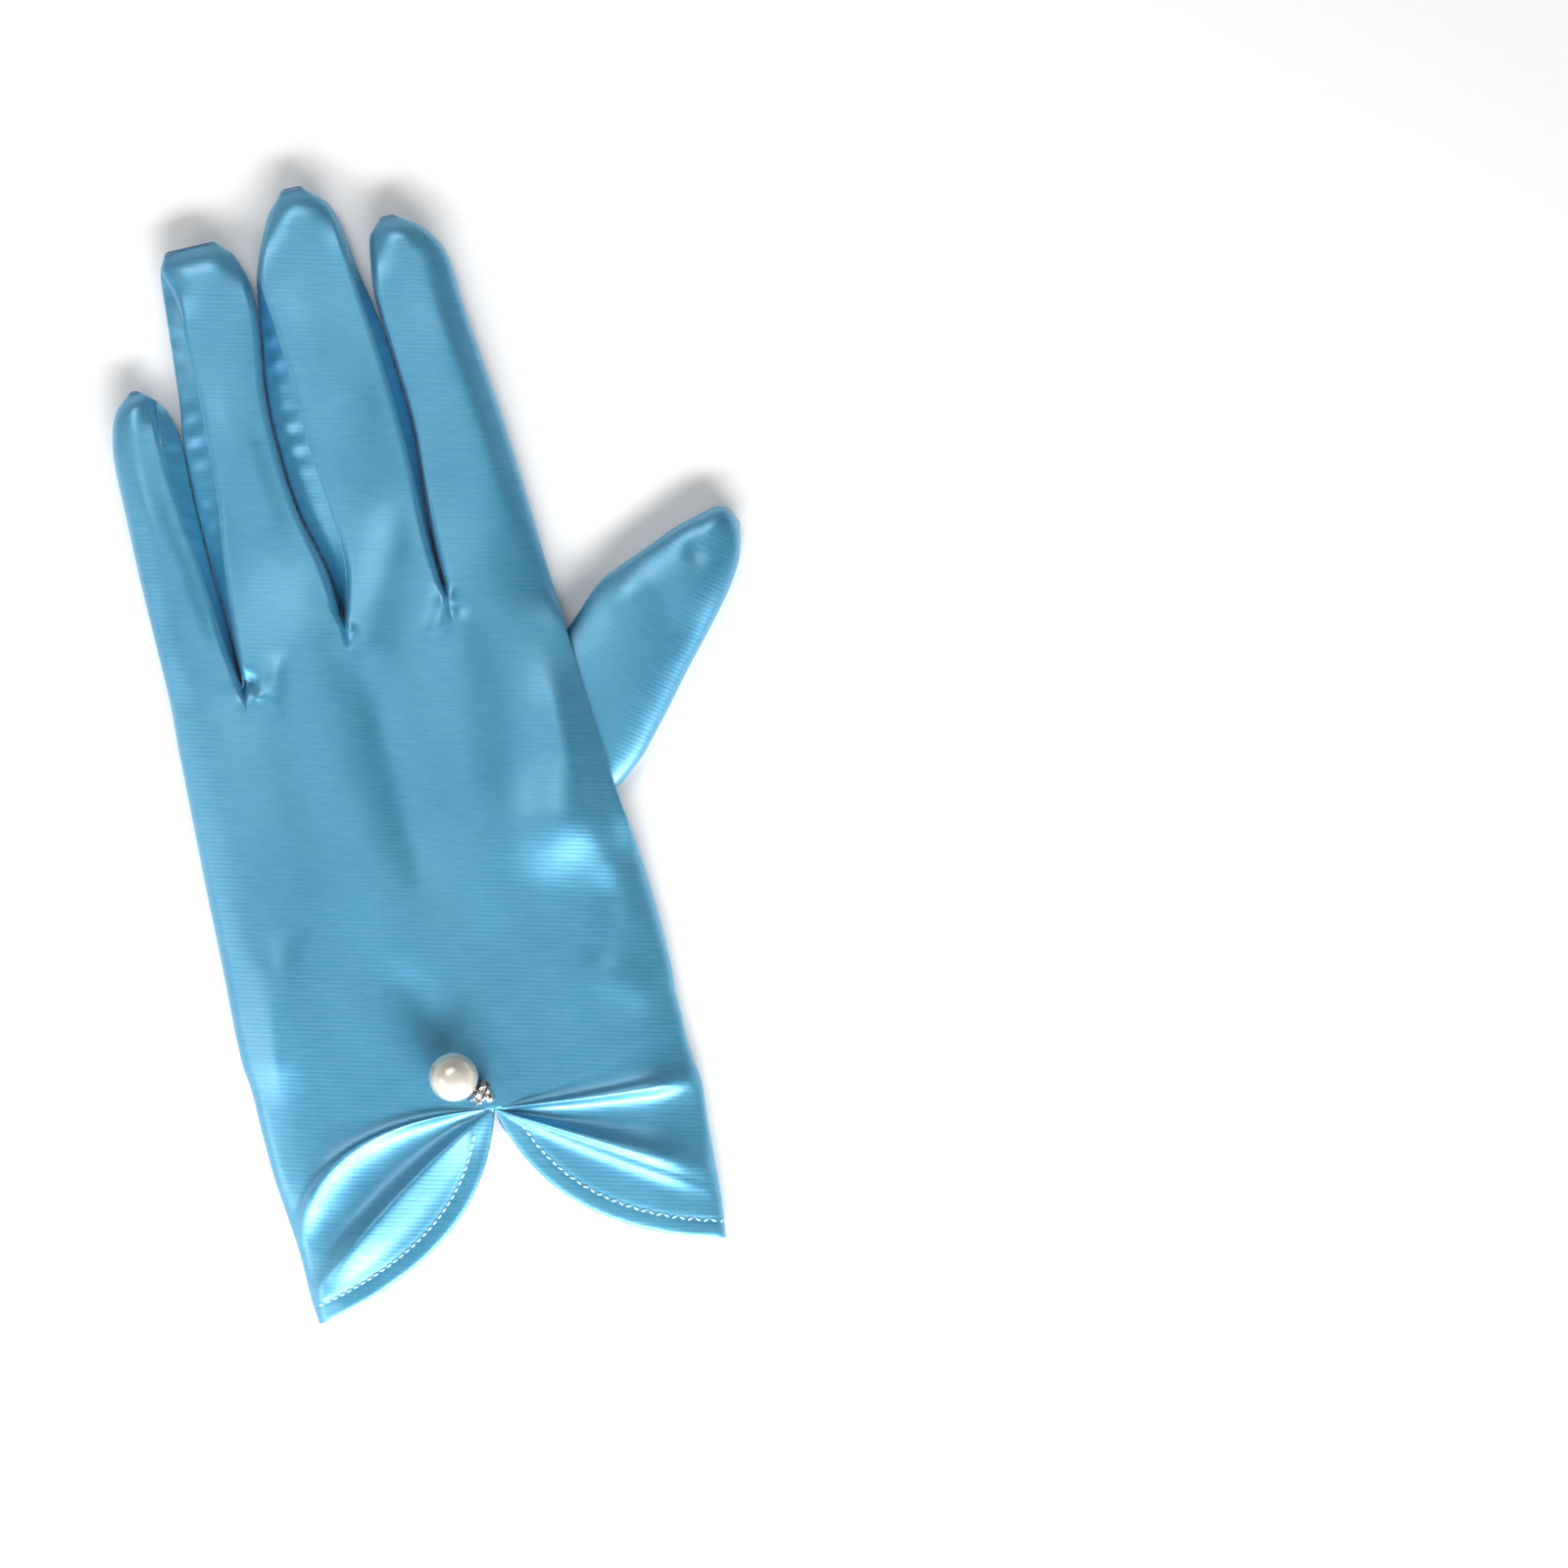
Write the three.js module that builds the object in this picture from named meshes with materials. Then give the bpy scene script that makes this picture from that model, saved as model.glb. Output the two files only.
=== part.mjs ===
// A left-hand dress glove of wrist length in stretch satin, lying flat on its palm. Millimetres, +Z up.
// X runs to the thumb and Y to the fingertips. In the tables the gather at the wrist is (0, 0).
import * as THREE from "three";

// Driving sizes
const wall = 1;
const gap = 0.3;
const slitGap = 0.52;
const slitRoom = 0.6;
const handWidth = 85.4;
const handMiddle = -4;
const palmLength = 100;
const loft = 9;
const sideSeam = 3.5;
const sideCurl = 9;
const palmCurl = 4;
const cuffDepth = 36;
const cuffFoldHeight = 1.7;
const bodyFoldHeight = 1.1;
const littleLength = 59;
const littleWidth = 14;
const ringLength = 85;
const ringWidth = 18;
const middleLength = 92;
const middleWidth = 22;
const indexLength = 82;
const indexWidth = 18;
const fingerLoft = 7.6;
const fingerCurl = 5;
const backSeam = 5.7;
const palmSeam = 1.4;
const thumbReach = 40;
const thumbSpread = 55;
const thumbFoot = 0.54 * palmLength;
const thumbLoft = 7.6;
const thumbDoor = 7.2;
const thumbTuck = 8.4;
const liftRun = 6;
const doorSlope = 3.4;
const pearlSize = 10;
const rondelleSize = 5.6;
const rondelleThick = 2;
const pinSize = 2.4;
const pearlAcross = -6.3;
const pearlUp = 8.2;
const pinUp = 2.3;
const gatherCrown = 0.86;
const rootCrown = 0.92;
const rootsFrom = 0.86;
const liftEnd = 0.69;
const doorEnd = 0.72;
const palmHem = 0.985;
const thumbBelt = 0.44;
const restY = 0.6 * palmLength;

// Side edges of the hand, from the wrist to the fingers: shares of palmLength and of handWidth.
const sides = [
  { up: 0, little: 0.503, thumb: 0.53 },
  { up: 0.1, little: 0.507, thumb: 0.533 },
  { up: 0.22, little: 0.515, thumb: 0.536 },
  { up: 0.4, little: 0.508, thumb: 0.528 },
  { up: 0.55, little: 0.504, thumb: 0.508 },
  { up: 0.7, little: 0.498, thumb: 0.492 },
  { up: 0.85, little: 0.492, thumb: 0.48 },
  { up: 1.05, little: 0.486, thumb: 0.467 },
];

// Height of the back along the hand: a share of loft.
const crowns = [
  { up: -0.4, crown: 0.9 },
  { up: 0, crown: 0.85 },
  { up: 0.3, crown: 0.95 },
  { up: 0.6, crown: 1 },
  { up: 1.1, crown: 0.94 },
];

// Folds of the cuff. Each row is a curve from the side edge to the gather: its end on the edge, its
// bend, and how far it stands proud. Edge is a share of handWidth from the hand's middle, bend a share
// of the way out to that end, down and bendDown shares of cuffDepth, rise a share of cuffFoldHeight.
const littleFolds = [
  { edge: 0.507, down: -0.28, bend: 0.42, bendDown: -0.17, rise: 0 },
  { edge: 0.503, down: 0.08, bend: 0.64, bendDown: -0.18, rise: -0.2 },
  { edge: 0.492, down: 0.34, bend: 0.74, bendDown: -0.16, rise: 0.2 },
  { edge: 0.484, down: 0.56, bend: 0.84, bendDown: -0.14, rise: 1 },
  { edge: 0.483, down: 0.7, bend: 0.49, bendDown: 0.09, rise: -0.6 },
  { edge: 0.482, down: 0.84, bend: 0.4, bendDown: 0.28, rise: 0.8 },
  { edge: 0.48, down: 0.9, bend: 0.26, bendDown: 0.52, rise: 0.2 },
  { edge: 0.478, down: 0.967, bend: 0.155, bendDown: 0.77, rise: 0 },
];
const thumbFolds = [
  { edge: 0.533, down: -0.28, bend: 0.43, bendDown: -0.06, rise: 0 },
  { edge: 0.532, down: -0.08, bend: 0.48, bendDown: 0, rise: -0.2 },
  { edge: 0.543, down: 0.11, bend: 0.52, bendDown: 0.09, rise: 0.9 },
  { edge: 0.538, down: 0.28, bend: 0.36, bendDown: 0.17, rise: -0.7 },
  { edge: 0.532, down: 0.5, bend: 0.33, bendDown: 0.21, rise: -0.1 },
  { edge: 0.527, down: 0.75, bend: 0.29, bendDown: 0.25, rise: 0.8 },
  { edge: 0.521, down: 0.89, bend: 0.22, bendDown: 0.5, rise: 0.2 },
  { edge: 0.515, down: 1.014, bend: 0.15, bendDown: 0.78, rise: 0 },
];

// Soft folds of the back. Ends and width are shares of handWidth across and of palmLength along,
// from the gather, and rise is a share of bodyFoldHeight.
const bodyFolds = [
  { x0: -0.14, y0: 1.02, x1: -0.14, y1: 0.68, width: 0.045, rise: -1 },
  { x0: 0.1, y0: 0.88, x1: 0.14, y1: 0.68, width: 0.05, rise: 0.8 },
  { x0: 0.2, y0: 0.98, x1: 0.19, y1: 0.76, width: 0.04, rise: -0.9 },
  { x0: 0.19, y0: 0.74, x1: 0.12, y1: 0.34, width: 0.05, rise: -0.8 },
  { x0: -0.38, y0: 0.86, x1: -0.39, y1: 0.48, width: 0.07, rise: 0.8 },
  { x0: 0.16, y0: 0.42, x1: 0.34, y1: 0.68, width: 0.055, rise: 0.9 },
  { x0: -0.49, y0: 0.3, x1: -0.45, y1: 0.22, width: 0.06, rise: 0.7 },
  { x0: 0.34, y0: 0.38, x1: 0.36, y1: 0.3, width: 0.08, rise: -0.7 },
  { x0: -0.1, y0: 0.36, x1: -0.02, y1: 0.2, width: 0.07, rise: -0.7 },
];

// Bottoms of the slits between the fingers, on a share of handWidth and of palmLength from the gather.
const slits = [
  { across: -0.532, up: 0.96 },
  { across: -0.354, up: 0.95 },
  { across: -0.084, up: 1.03 },
  { across: 0.169, up: 1.045 },
  { across: 0.4195, up: 1.03 },
];

// Fingers, from the little one. Length is how far the tip is past the palm, width the cloth across the
// finger, and across the place of its middle line, a share of handWidth. The rows give the edges of the
// palm and of the back as shares of that width from the middle line, at a share of the finger.
const fingers = [
  {
    name: "little",
    length: littleLength,
    width: littleWidth,
    across: -0.4485,
    rows: [
      { at: 0.2, palmLeft: -0.52, backLeft: -0.52, backRight: 0.42, palmRight: 0.5 },
      { at: 0.4, palmLeft: -0.53, backLeft: -0.53, backRight: 0.35, palmRight: 0.46 },
      { at: 0.6, palmLeft: -0.52, backLeft: -0.52, backRight: 0.25, palmRight: 0.45 },
      { at: 0.8, palmLeft: -0.5, backLeft: -0.5, backRight: 0.2, palmRight: 0.47 },
      { at: 0.9, palmLeft: -0.41, backLeft: -0.41, backRight: 0.26, palmRight: 0.42 },
      { at: 0.96, palmLeft: -0.27, backLeft: -0.27, backRight: 0.27, palmRight: 0.27 },
      { at: 1, palmLeft: -0.1, backLeft: -0.1, backRight: 0.11, palmRight: 0.11 },
    ],
  },
  {
    name: "ring",
    length: ringLength,
    width: ringWidth,
    across: -0.24,
    rows: [
      { at: 0.15, palmLeft: -0.52, backLeft: -0.48, backRight: 0.65, palmRight: 0.66 },
      { at: 0.3, palmLeft: -0.55, backLeft: -0.39, backRight: 0.49, palmRight: 0.5 },
      { at: 0.45, palmLeft: -0.56, backLeft: -0.29, backRight: 0.42, palmRight: 0.43 },
      { at: 0.6, palmLeft: -0.53, backLeft: -0.26, backRight: 0.42, palmRight: 0.43 },
      { at: 0.75, palmLeft: -0.47, backLeft: -0.26, backRight: 0.51, palmRight: 0.52 },
      { at: 0.88, palmLeft: -0.42, backLeft: -0.28, backRight: 0.56, palmRight: 0.57 },
      { at: 0.96, palmLeft: -0.38, backLeft: -0.38, backRight: 0.46, palmRight: 0.46 },
      { at: 1, palmLeft: -0.31, backLeft: -0.31, backRight: 0.33, palmRight: 0.33 },
    ],
  },
  {
    name: "middle",
    length: middleLength,
    width: middleWidth,
    across: 0.0235,
    rows: [
      { at: 0.12, palmLeft: -0.43, backLeft: -0.28, backRight: 0.51, palmRight: 0.52 },
      { at: 0.25, palmLeft: -0.57, backLeft: -0.28, backRight: 0.5, palmRight: 0.55 },
      { at: 0.4, palmLeft: -0.62, backLeft: -0.33, backRight: 0.49, palmRight: 0.58 },
      { at: 0.55, palmLeft: -0.61, backLeft: -0.35, backRight: 0.46, palmRight: 0.55 },
      { at: 0.7, palmLeft: -0.52, backLeft: -0.39, backRight: 0.4, palmRight: 0.46 },
      { at: 0.82, palmLeft: -0.47, backLeft: -0.44, backRight: 0.39, palmRight: 0.43 },
      { at: 0.93, palmLeft: -0.29, backLeft: -0.29, backRight: 0.35, palmRight: 0.35 },
      { at: 1, palmLeft: -0.1, backLeft: -0.1, backRight: 0.14, palmRight: 0.14 },
    ],
  },
  {
    name: "index",
    length: indexLength,
    width: indexWidth,
    across: 0.281,
    rows: [
      { at: 0.15, palmLeft: -0.52, backLeft: -0.5, backRight: 0.62, palmRight: 0.62 },
      { at: 0.3, palmLeft: -0.47, backLeft: -0.45, backRight: 0.58, palmRight: 0.58 },
      { at: 0.45, palmLeft: -0.43, backLeft: -0.41, backRight: 0.53, palmRight: 0.53 },
      { at: 0.6, palmLeft: -0.46, backLeft: -0.44, backRight: 0.46, palmRight: 0.46 },
      { at: 0.75, palmLeft: -0.49, backLeft: -0.47, backRight: 0.39, palmRight: 0.39 },
      { at: 0.88, palmLeft: -0.51, backLeft: -0.5, backRight: 0.34, palmRight: 0.34 },
      { at: 0.96, palmLeft: -0.45, backLeft: -0.45, backRight: 0.12, palmRight: 0.12 },
      { at: 1, palmLeft: -0.33, backLeft: -0.33, backRight: -0.09, palmRight: -0.09 },
    ],
  },
];

// Sections of the thumb, from its root under the back to its tip: both ends of each section as shares of
// thumbReach out from the hand's edge and of thumbSpread above its foot, how far it is tucked under the
// back over thumbTuck, and its height over thumbLoft.
const thumbRows = [
  { at: 0, upperX: 0, upperY: 0.645, lowerX: 0, lowerY: 0.07, tuck: 1, height: 0.88 },
  { at: 0.12, upperX: 0, upperY: 0.67, lowerX: 0, lowerY: 0.02, tuck: 0, height: 0.9 },
  { at: 0.28, upperX: 0.215, upperY: 0.82, lowerX: 0.148, lowerY: 0.145, tuck: 0, height: 0.97 },
  { at: 0.4, upperX: 0.34, upperY: 0.865, lowerX: 0.35, lowerY: 0.29, tuck: 0, height: 1 },
  { at: 0.54, upperX: 0.52, upperY: 0.915, lowerX: 0.525, lowerY: 0.43, tuck: 0, height: 1 },
  { at: 0.68, upperX: 0.675, upperY: 0.96, lowerX: 0.7, lowerY: 0.565, tuck: 0, height: 1 },
  { at: 0.8, upperX: 0.8, upperY: 0.985, lowerX: 0.83, lowerY: 0.67, tuck: 0, height: 0.95 },
  { at: 0.9, upperX: 0.9, upperY: 1, lowerX: 0.925, lowerY: 0.765, tuck: 0, height: 0.84 },
  { at: 0.96, upperX: 0.97, upperY: 0.985, lowerX: 0.98, lowerY: 0.845, tuck: 0, height: 0.7 },
  { at: 1, upperX: 1, upperY: 0.945, lowerX: 1, lowerY: 0.9, tuck: 0, height: 0.55 },
];

// Columns of the weave across each finger's width, and rows along it: shares
const backColumns = [0, 0.15, 0.333, 0.5, 0.667, 0.85, 1];
const palmColumns = [0, 0.13, 0.333, 0.667, 0.87, 1];
const backBodyRows = spread(12);
const backCuffRows = spread(14);
const fingerRows = [0, 0.04, 0.1, 0.2, 0.3, 0.4, 0.5, 0.6, 0.7, 0.8, 0.87, 0.93, 0.97, 1];
const palmCuffRows = spread(4);
const gatherFinger = 2;
const gatherShare = 0.333;
const fourchetteRows = fingerRows.slice(1, -3);

function spread(count) {
  return Array.from({ length: count + 1 }, (_, i) => i / count);
}

function mix(a, b, share) {
  return a + (b - a) * share;
}

function smooth(from, to, x) {
  return THREE.MathUtils.smoothstep(x, from, to);
}

// Value of a table's column at a place, on a smooth curve through its rows.
function read(rows, place, column, x) {
  const last = rows.length - 1;
  let i = 0;
  while (i < last - 1 && x > rows[i + 1][place]) i += 1;
  const slope = (k) => {
    const a = rows[Math.max(k - 1, 0)];
    const b = rows[Math.min(k + 1, last)];
    return (b[column] - a[column]) / (b[place] - a[place]);
  };
  const span = rows[i + 1][place] - rows[i][place];
  const s = THREE.MathUtils.clamp((x - rows[i][place]) / span, 0, 1);
  const start = rows[i][column] * (2 * s ** 3 - 3 * s ** 2 + 1);
  const end = rows[i + 1][column] * (3 * s ** 2 - 2 * s ** 3);
  const tangents = slope(i) * (s ** 3 - 2 * s ** 2 + s) + slope(i + 1) * (s ** 3 - s ** 2);
  return start + end + tangents * span;
}

// Quarter round of a curl: 0 on the edge and 1 from its radius on.
function round(distance, radius) {
  const left = 1 - THREE.MathUtils.clamp(distance / radius, 0, 1);
  return Math.sqrt(1 - left * left);
}

// Cloth: patches of quads that share their edges, given a wall on the inner side.
class Cloth {
  constructor() {
    this.points = [];
    this.inward = [];
    this.faces = [];
    this.seen = new Map();
  }

  add({ p, inward }) {
    const key = p.map((v) => Math.round(v * 1e4)).join(" ");
    if (!this.seen.has(key)) {
      this.seen.set(key, this.points.length);
      this.points.push(new THREE.Vector3(...p));
      this.inward.push(inward ? new THREE.Vector3(...inward).normalize() : null);
    }
    return this.seen.get(key);
  }

  // A patch of rows and columns whose point is at(row, column). Flip turns its faces round.
  patch(rows, columns, at, flip = false) {
    const grid = rows.map((r) => columns.map((c) => this.add(at(r, c))));
    for (let i = 0; i + 1 < rows.length; i += 1) {
      for (let j = 0; j + 1 < columns.length; j += 1) {
        const [a, b, c, d] = [grid[i][j], grid[i][j + 1], grid[i + 1][j + 1], grid[i + 1][j]];
        this.triangle(a, b, c, flip);
        this.triangle(a, c, d, flip);
      }
    }
  }

  triangle(a, b, c, flip) {
    if (a === b || b === c || c === a) return;
    this.faces.push(flip ? [a, c, b] : [a, b, c]);
  }

  // The closed solid: the outer faces, the same ones a wall further in, and a rim round each edge.
  solid() {
    const normals = this.points.map(() => new THREE.Vector3());
    const across = new THREE.Vector3();
    const along = new THREE.Vector3();
    for (const [a, b, c] of this.faces) {
      across.subVectors(this.points[b], this.points[a]);
      along.subVectors(this.points[c], this.points[a]);
      const normal = across.cross(along);
      for (const v of [a, b, c]) normals[v].add(normal);
    }
    const count = this.points.length;
    const inner = this.points.map((p, i) => {
      const step = this.inward[i] ?? normals[i].normalize().negate();
      return p.clone().addScaledVector(step, wall);
    });
    const faces = this.faces.flatMap(([a, b, c]) => [
      [a, b, c],
      [c + count, b + count, a + count],
    ]);
    const edges = new Set(this.faces.flatMap(([a, b, c]) => [`${a} ${b}`, `${b} ${c}`, `${c} ${a}`]));
    for (const edge of edges) {
      const [a, b] = edge.split(" ").map(Number);
      if (edges.has(`${b} ${a}`)) continue;
      faces.push([b, a, a + count], [b, a + count, b + count]);
    }
    return geometryOf([...this.points, ...inner], faces);
  }
}

function geometryOf(points, faces) {
  const geometry = new THREE.BufferGeometry().setFromPoints(points);
  geometry.setIndex(faces.flat());
  geometry.computeVertexNormals();
  return geometry;
}

// The seam between two pieces on the side that faces away from (hx, hy). Open is 1 where a fourchette
// parts the back from the palm and 0 where they meet, slope is how steep that fourchette stands, and
// turn is -1 on the back and 1 on the palm. The seam's rim halves the corner between the two pieces.
function seam(hx, hy, open, turn, slope = Math.PI / 2) {
  const angle = open * (turn > 0 ? slope / 2 : slope / 2 - Math.PI / 2);
  const flat = Math.cos(angle);
  const steep = Math.sin(angle);
  return {
    inward: [hx * flat, hy * flat, steep],
    beside: [-hx * Math.abs(steep), -hy * Math.abs(steep), turn * flat],
  };
}

// How far a finger's side is parted by its fourchette at a share of its length.
function parted(at) {
  return 1 - smooth(0.8, 0.95, at);
}

const backEdge = sideSeam + gap / 2;
const palmEdge = sideSeam - gap / 2;

function edgeOf(side, y) {
  const share = read(sides, "up", side, y / palmLength);
  return handMiddle + (side === "little" ? -share : share) * handWidth;
}

function slitPoint(k) {
  return { x: slits[k].across * handWidth, y: slits[k].up * palmLength };
}

// Edge of a finger's strip of the back or the palm, at a share of its length.
function fingerEdge(finger, column, at) {
  const index = fingers.indexOf(finger);
  const slit = slitPoint(column.endsWith("Left") ? index : index + 1);
  const axis = finger.across * handWidth;
  const root = { at: 0, [column]: (slit.x - axis) / finger.width };
  const plain = axis + read([root, ...finger.rows], "at", column, at) * finger.width;
  if (!hasFourchette(finger, column.endsWith("Left") ? "Left" : "Right")) return plain;
  const room = slitRoom * smooth(0, 0.04, at) * (1 - smooth(0.12, 0.3, at));
  return plain + (column.endsWith("Left") ? room : -room);
}

function fingerPoint(finger, piece, at, share) {
  const index = fingers.indexOf(finger);
  const root = mix(slitPoint(index).y, slitPoint(index + 1).y, share);
  const left = fingerEdge(finger, piece + "Left", at);
  const right = fingerEdge(finger, piece + "Right", at);
  return { x: mix(left, right, share), y: mix(root, palmLength + finger.length, at), left, right };
}

// How steep the fourchette stands on one side of a finger, from the palm's edge up to the back's.
function fourchetteSlope(finger, side, at) {
  const lean = fingerEdge(finger, "palm" + side, at) - fingerEdge(finger, "back" + side, at);
  return Math.atan2(backSeam - palmSeam, side === "Left" ? -lean : lean);
}

function hasFourchette(finger, side) {
  return !(finger === fingers[0] && side === "Left") && !(finger === fingers.at(-1) && side === "Right");
}

// Height of the back's seam on one side of a finger, and the curl that leads to it.
function backSide(finger, side, at, distance) {
  const open = hasFourchette(finger, side) ? parted(at) : 0;
  const foot = mix(backEdge, backSeam, open);
  const reach = Math.min(distance / fingerCurl, 1);
  const gentle = 1 - (1 - reach) ** 2;
  return { foot, curl: mix(round(distance, fingerCurl), gentle, open) };
}

// How much of its height a finger keeps towards its tip.
function tipRound(at) {
  return Math.sqrt(Math.max(1 - smooth(0.82, 1, at) ** 2, 0));
}

function backFingerHeight(finger, at, x, left, right) {
  const middle = (left + right) / 2;
  const side = x < middle ? "Left" : "Right";
  const { foot, curl } = backSide(finger, side, at, Math.min(x - left, right - x));
  const crown = mix(loft * rootCrown, fingerLoft, smooth(0, 0.3, at));
  return mix(backEdge, mix(foot, crown, curl), tipRound(at));
}

// Round the bottom of a slit the seam turns from facing one finger to facing down the hand.
function slitTurn(outer, at) {
  if (at === 0) return { hx: 0, hy: -1 };
  return at < fingerRows[2] ? { hx: outer * Math.SQRT1_2, hy: -Math.SQRT1_2 } : { hx: outer, hy: 0 };
}

function inwardAt(finger, at, share, turn) {
  const outer = share === 0 ? 1 : -1;
  const onSide = share === 0 || share === 1;
  if (at === 1) return [onSide ? outer : 0, -1, 0];
  if (!onSide) return undefined;
  const side = share === 0 ? "Left" : "Right";
  const open = hasFourchette(finger, side) ? parted(at) : 0;
  const aim = hasFourchette(finger, side) ? slitTurn(outer, at) : { hx: outer, hy: 0 };
  return seam(aim.hx, aim.hy, open, turn, fourchetteSlope(finger, side, at)).inward;
}

// Soft folds of the back at a place.
function relief(x, y) {
  let sum = 0;
  for (const fold of bodyFolds) {
    const start = new THREE.Vector2(fold.x0 * handWidth, fold.y0 * palmLength);
    const end = new THREE.Vector2(fold.x1 * handWidth, fold.y1 * palmLength);
    const along = end.clone().sub(start);
    const place = new THREE.Vector2(x, y).sub(start);
    const share = THREE.MathUtils.clamp(place.dot(along) / along.lengthSq(), 0, 1);
    const distance = place.addScaledVector(along, -share).length();
    sum += fold.rise * bodyFoldHeight * Math.exp(-((distance / (fold.width * handWidth)) ** 2));
  }
  return sum;
}

// Height of the back's foot on the thumb side: it lifts where the thumb passes under it.
function thumbLift(y) {
  const start = thumbFoot - 1;
  const end = thumbFoot + thumbSpread * liftEnd;
  return smooth(start - liftRun, start, y) * (1 - smooth(end, end + liftRun, y));
}

function bodyHeight(x, y, left, right) {
  const crown = loft * read(crowns, "up", "crown", y / palmLength);
  const middle = (left + right) / 2;
  const distance = Math.min(x - left, right - x);
  const foot = x > middle ? mix(backEdge, thumbDoor + gap, thumbLift(y)) : backEdge;
  return mix(foot, crown, round(distance, sideCurl)) + relief(x, y) * smooth(0, sideCurl, distance);
}

// Places of the columns across the whole hand: a share for each, and which finger it belongs to.
function handColumns(columns) {
  const list = fingers.flatMap((_, k) => columns.slice(k ? 1 : 0).map((share) => ({ k, share })));
  const rootX = ({ k, share }) => mix(slitPoint(k).x, slitPoint(k + 1).x, share);
  const first = slitPoint(0).x;
  const last = slitPoint(fingers.length).x;
  const gather = list.findIndex(({ k, share }) => k === gatherFinger && share === gatherShare);
  const middle = rootX(list[gather]);
  return list.map((column, j) => {
    const x = rootX(column);
    const half = j <= gather ? "little" : "thumb";
    const out = half === "little" ? (x - middle) / (first - middle) : (x - middle) / (last - middle);
    return { ...column, j, gather, half, out };
  });
}

// A cuff curve from the gather out to the side edge, at a share of the folds' table.
function cuffPoint(half, share, out) {
  const table = half === "little" ? littleFolds : thumbFolds;
  const rows = table.map((row, i) => ({ ...row, at: i / (table.length - 1) }));
  const value = (column) => read(rows, "at", column, share);
  const sign = half === "little" ? -1 : 1;
  const endX = handMiddle + sign * value("edge") * handWidth;
  const endY = -value("down") * cuffDepth;
  const bendX = value("bend") * endX;
  const bendY = -value("bendDown") * cuffDepth;
  const inner = 1 - out;
  const rise = value("rise") * smooth(0, 0.3, inner * 1.2) * smooth(0, 0.22, out);
  return {
    x: out * out * endX + 2 * out * inner * bendX,
    y: out * out * endY + 2 * out * inner * bendY,
    endX,
    rise: rise * cuffFoldHeight,
  };
}

// A point of the hand between the cuff and the fingers.
function bodyPoint(column, up) {
  const start = cuffPoint(column.half, 0, column.out);
  const left = slitPoint(column.k);
  const right = slitPoint(column.k + 1);
  const y = mix(start.y, mix(left.y, right.y, column.share), up);
  const straight = mix(start.x, mix(left.x, right.x, column.share), up);
  const outer = mix(start.endX, slitPoint(column.half === "little" ? 0 : fingers.length).x, up);
  const bow = (edgeOf(column.half, y) - outer) * (4 * up * (1 - up)) ** 0.3;
  return { x: straight + (up > 0 && up < 1 ? bow * column.out ** 3 : 0), y };
}

function sideInward(column) {
  if (column.out < 1) return undefined;
  return column.half === "little" ? [1, 0, 0] : [-1, 0, 0];
}

// The folds crowd together at the gather, where the wall is set straight down.
function cuffInward(column) {
  return column.out < 0.5 ? [0, 0, -1] : sideInward(column);
}

function isSlit(up, column) {
  return up === 1 && (column.share === 1 || column.share === 0) && column.out < 1;
}

function makeBackPanel() {
  const cloth = new Cloth();
  const columns = handColumns(backColumns);
  const body = (up, column) => {
    const { x, y } = bodyPoint(column, up);
    const finger = fingers[column.k];
    const root = fingerPoint(finger, "back", 0, column.share);
    const ends = { left: bodyPoint(columns[0], up).x, right: bodyPoint(columns.at(-1), up).x };
    const plain = bodyHeight(x, y, ends.left, ends.right);
    const parting = backFingerHeight(finger, 0, root.x, root.left, root.right);
    const z = mix(plain, parting, smooth(rootsFrom, 1, up));
    if (isSlit(up, column)) return { p: [x, y, z], inward: seam(0, -1, 1, -1).inward };
    return { p: [x, y, z], inward: up === 0 ? cuffInward(column) : sideInward(column) };
  };
  cloth.patch(backBodyRows, columns, body);
  const cuff = (share, column) => {
    const { x, y, endX, rise } = cuffPoint(column.half, share, column.out);
    const other = cuffPoint(column.half === "little" ? "thumb" : "little", share, 1).endX;
    const plain = bodyHeight(x, y, Math.min(endX, other), Math.max(endX, other));
    return { p: [x, y, plain + rise], inward: cuffInward(column) };
  };
  const little = columns.filter(({ j, gather }) => j <= gather);
  const thumb = columns.filter(({ j, gather }) => j >= gather);
  cloth.patch(backCuffRows, little, cuff, true);
  cloth.patch(backCuffRows, thumb, cuff, true);
  for (const finger of fingers) {
    const strip = (at, share) => {
      const { x, y, left, right } = fingerPoint(finger, "back", at, share);
      const z = backFingerHeight(finger, at, x, left, right);
      return { p: [x, y, z], inward: inwardAt(finger, at, share, -1) };
    };
    cloth.patch(fingerRows, backColumns, strip);
  }
  return cloth.solid();
}

// The palm lies flat and curls up at its edges. Its thumb side is cut out where the thumb is set in.
const doorLow = thumbFoot - 2 * gap;
const doorHigh = thumbFoot + thumbSpread * doorEnd;

function palmHeight(distance) {
  return palmEdge * (1 - round(distance, palmCurl));
}

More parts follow.
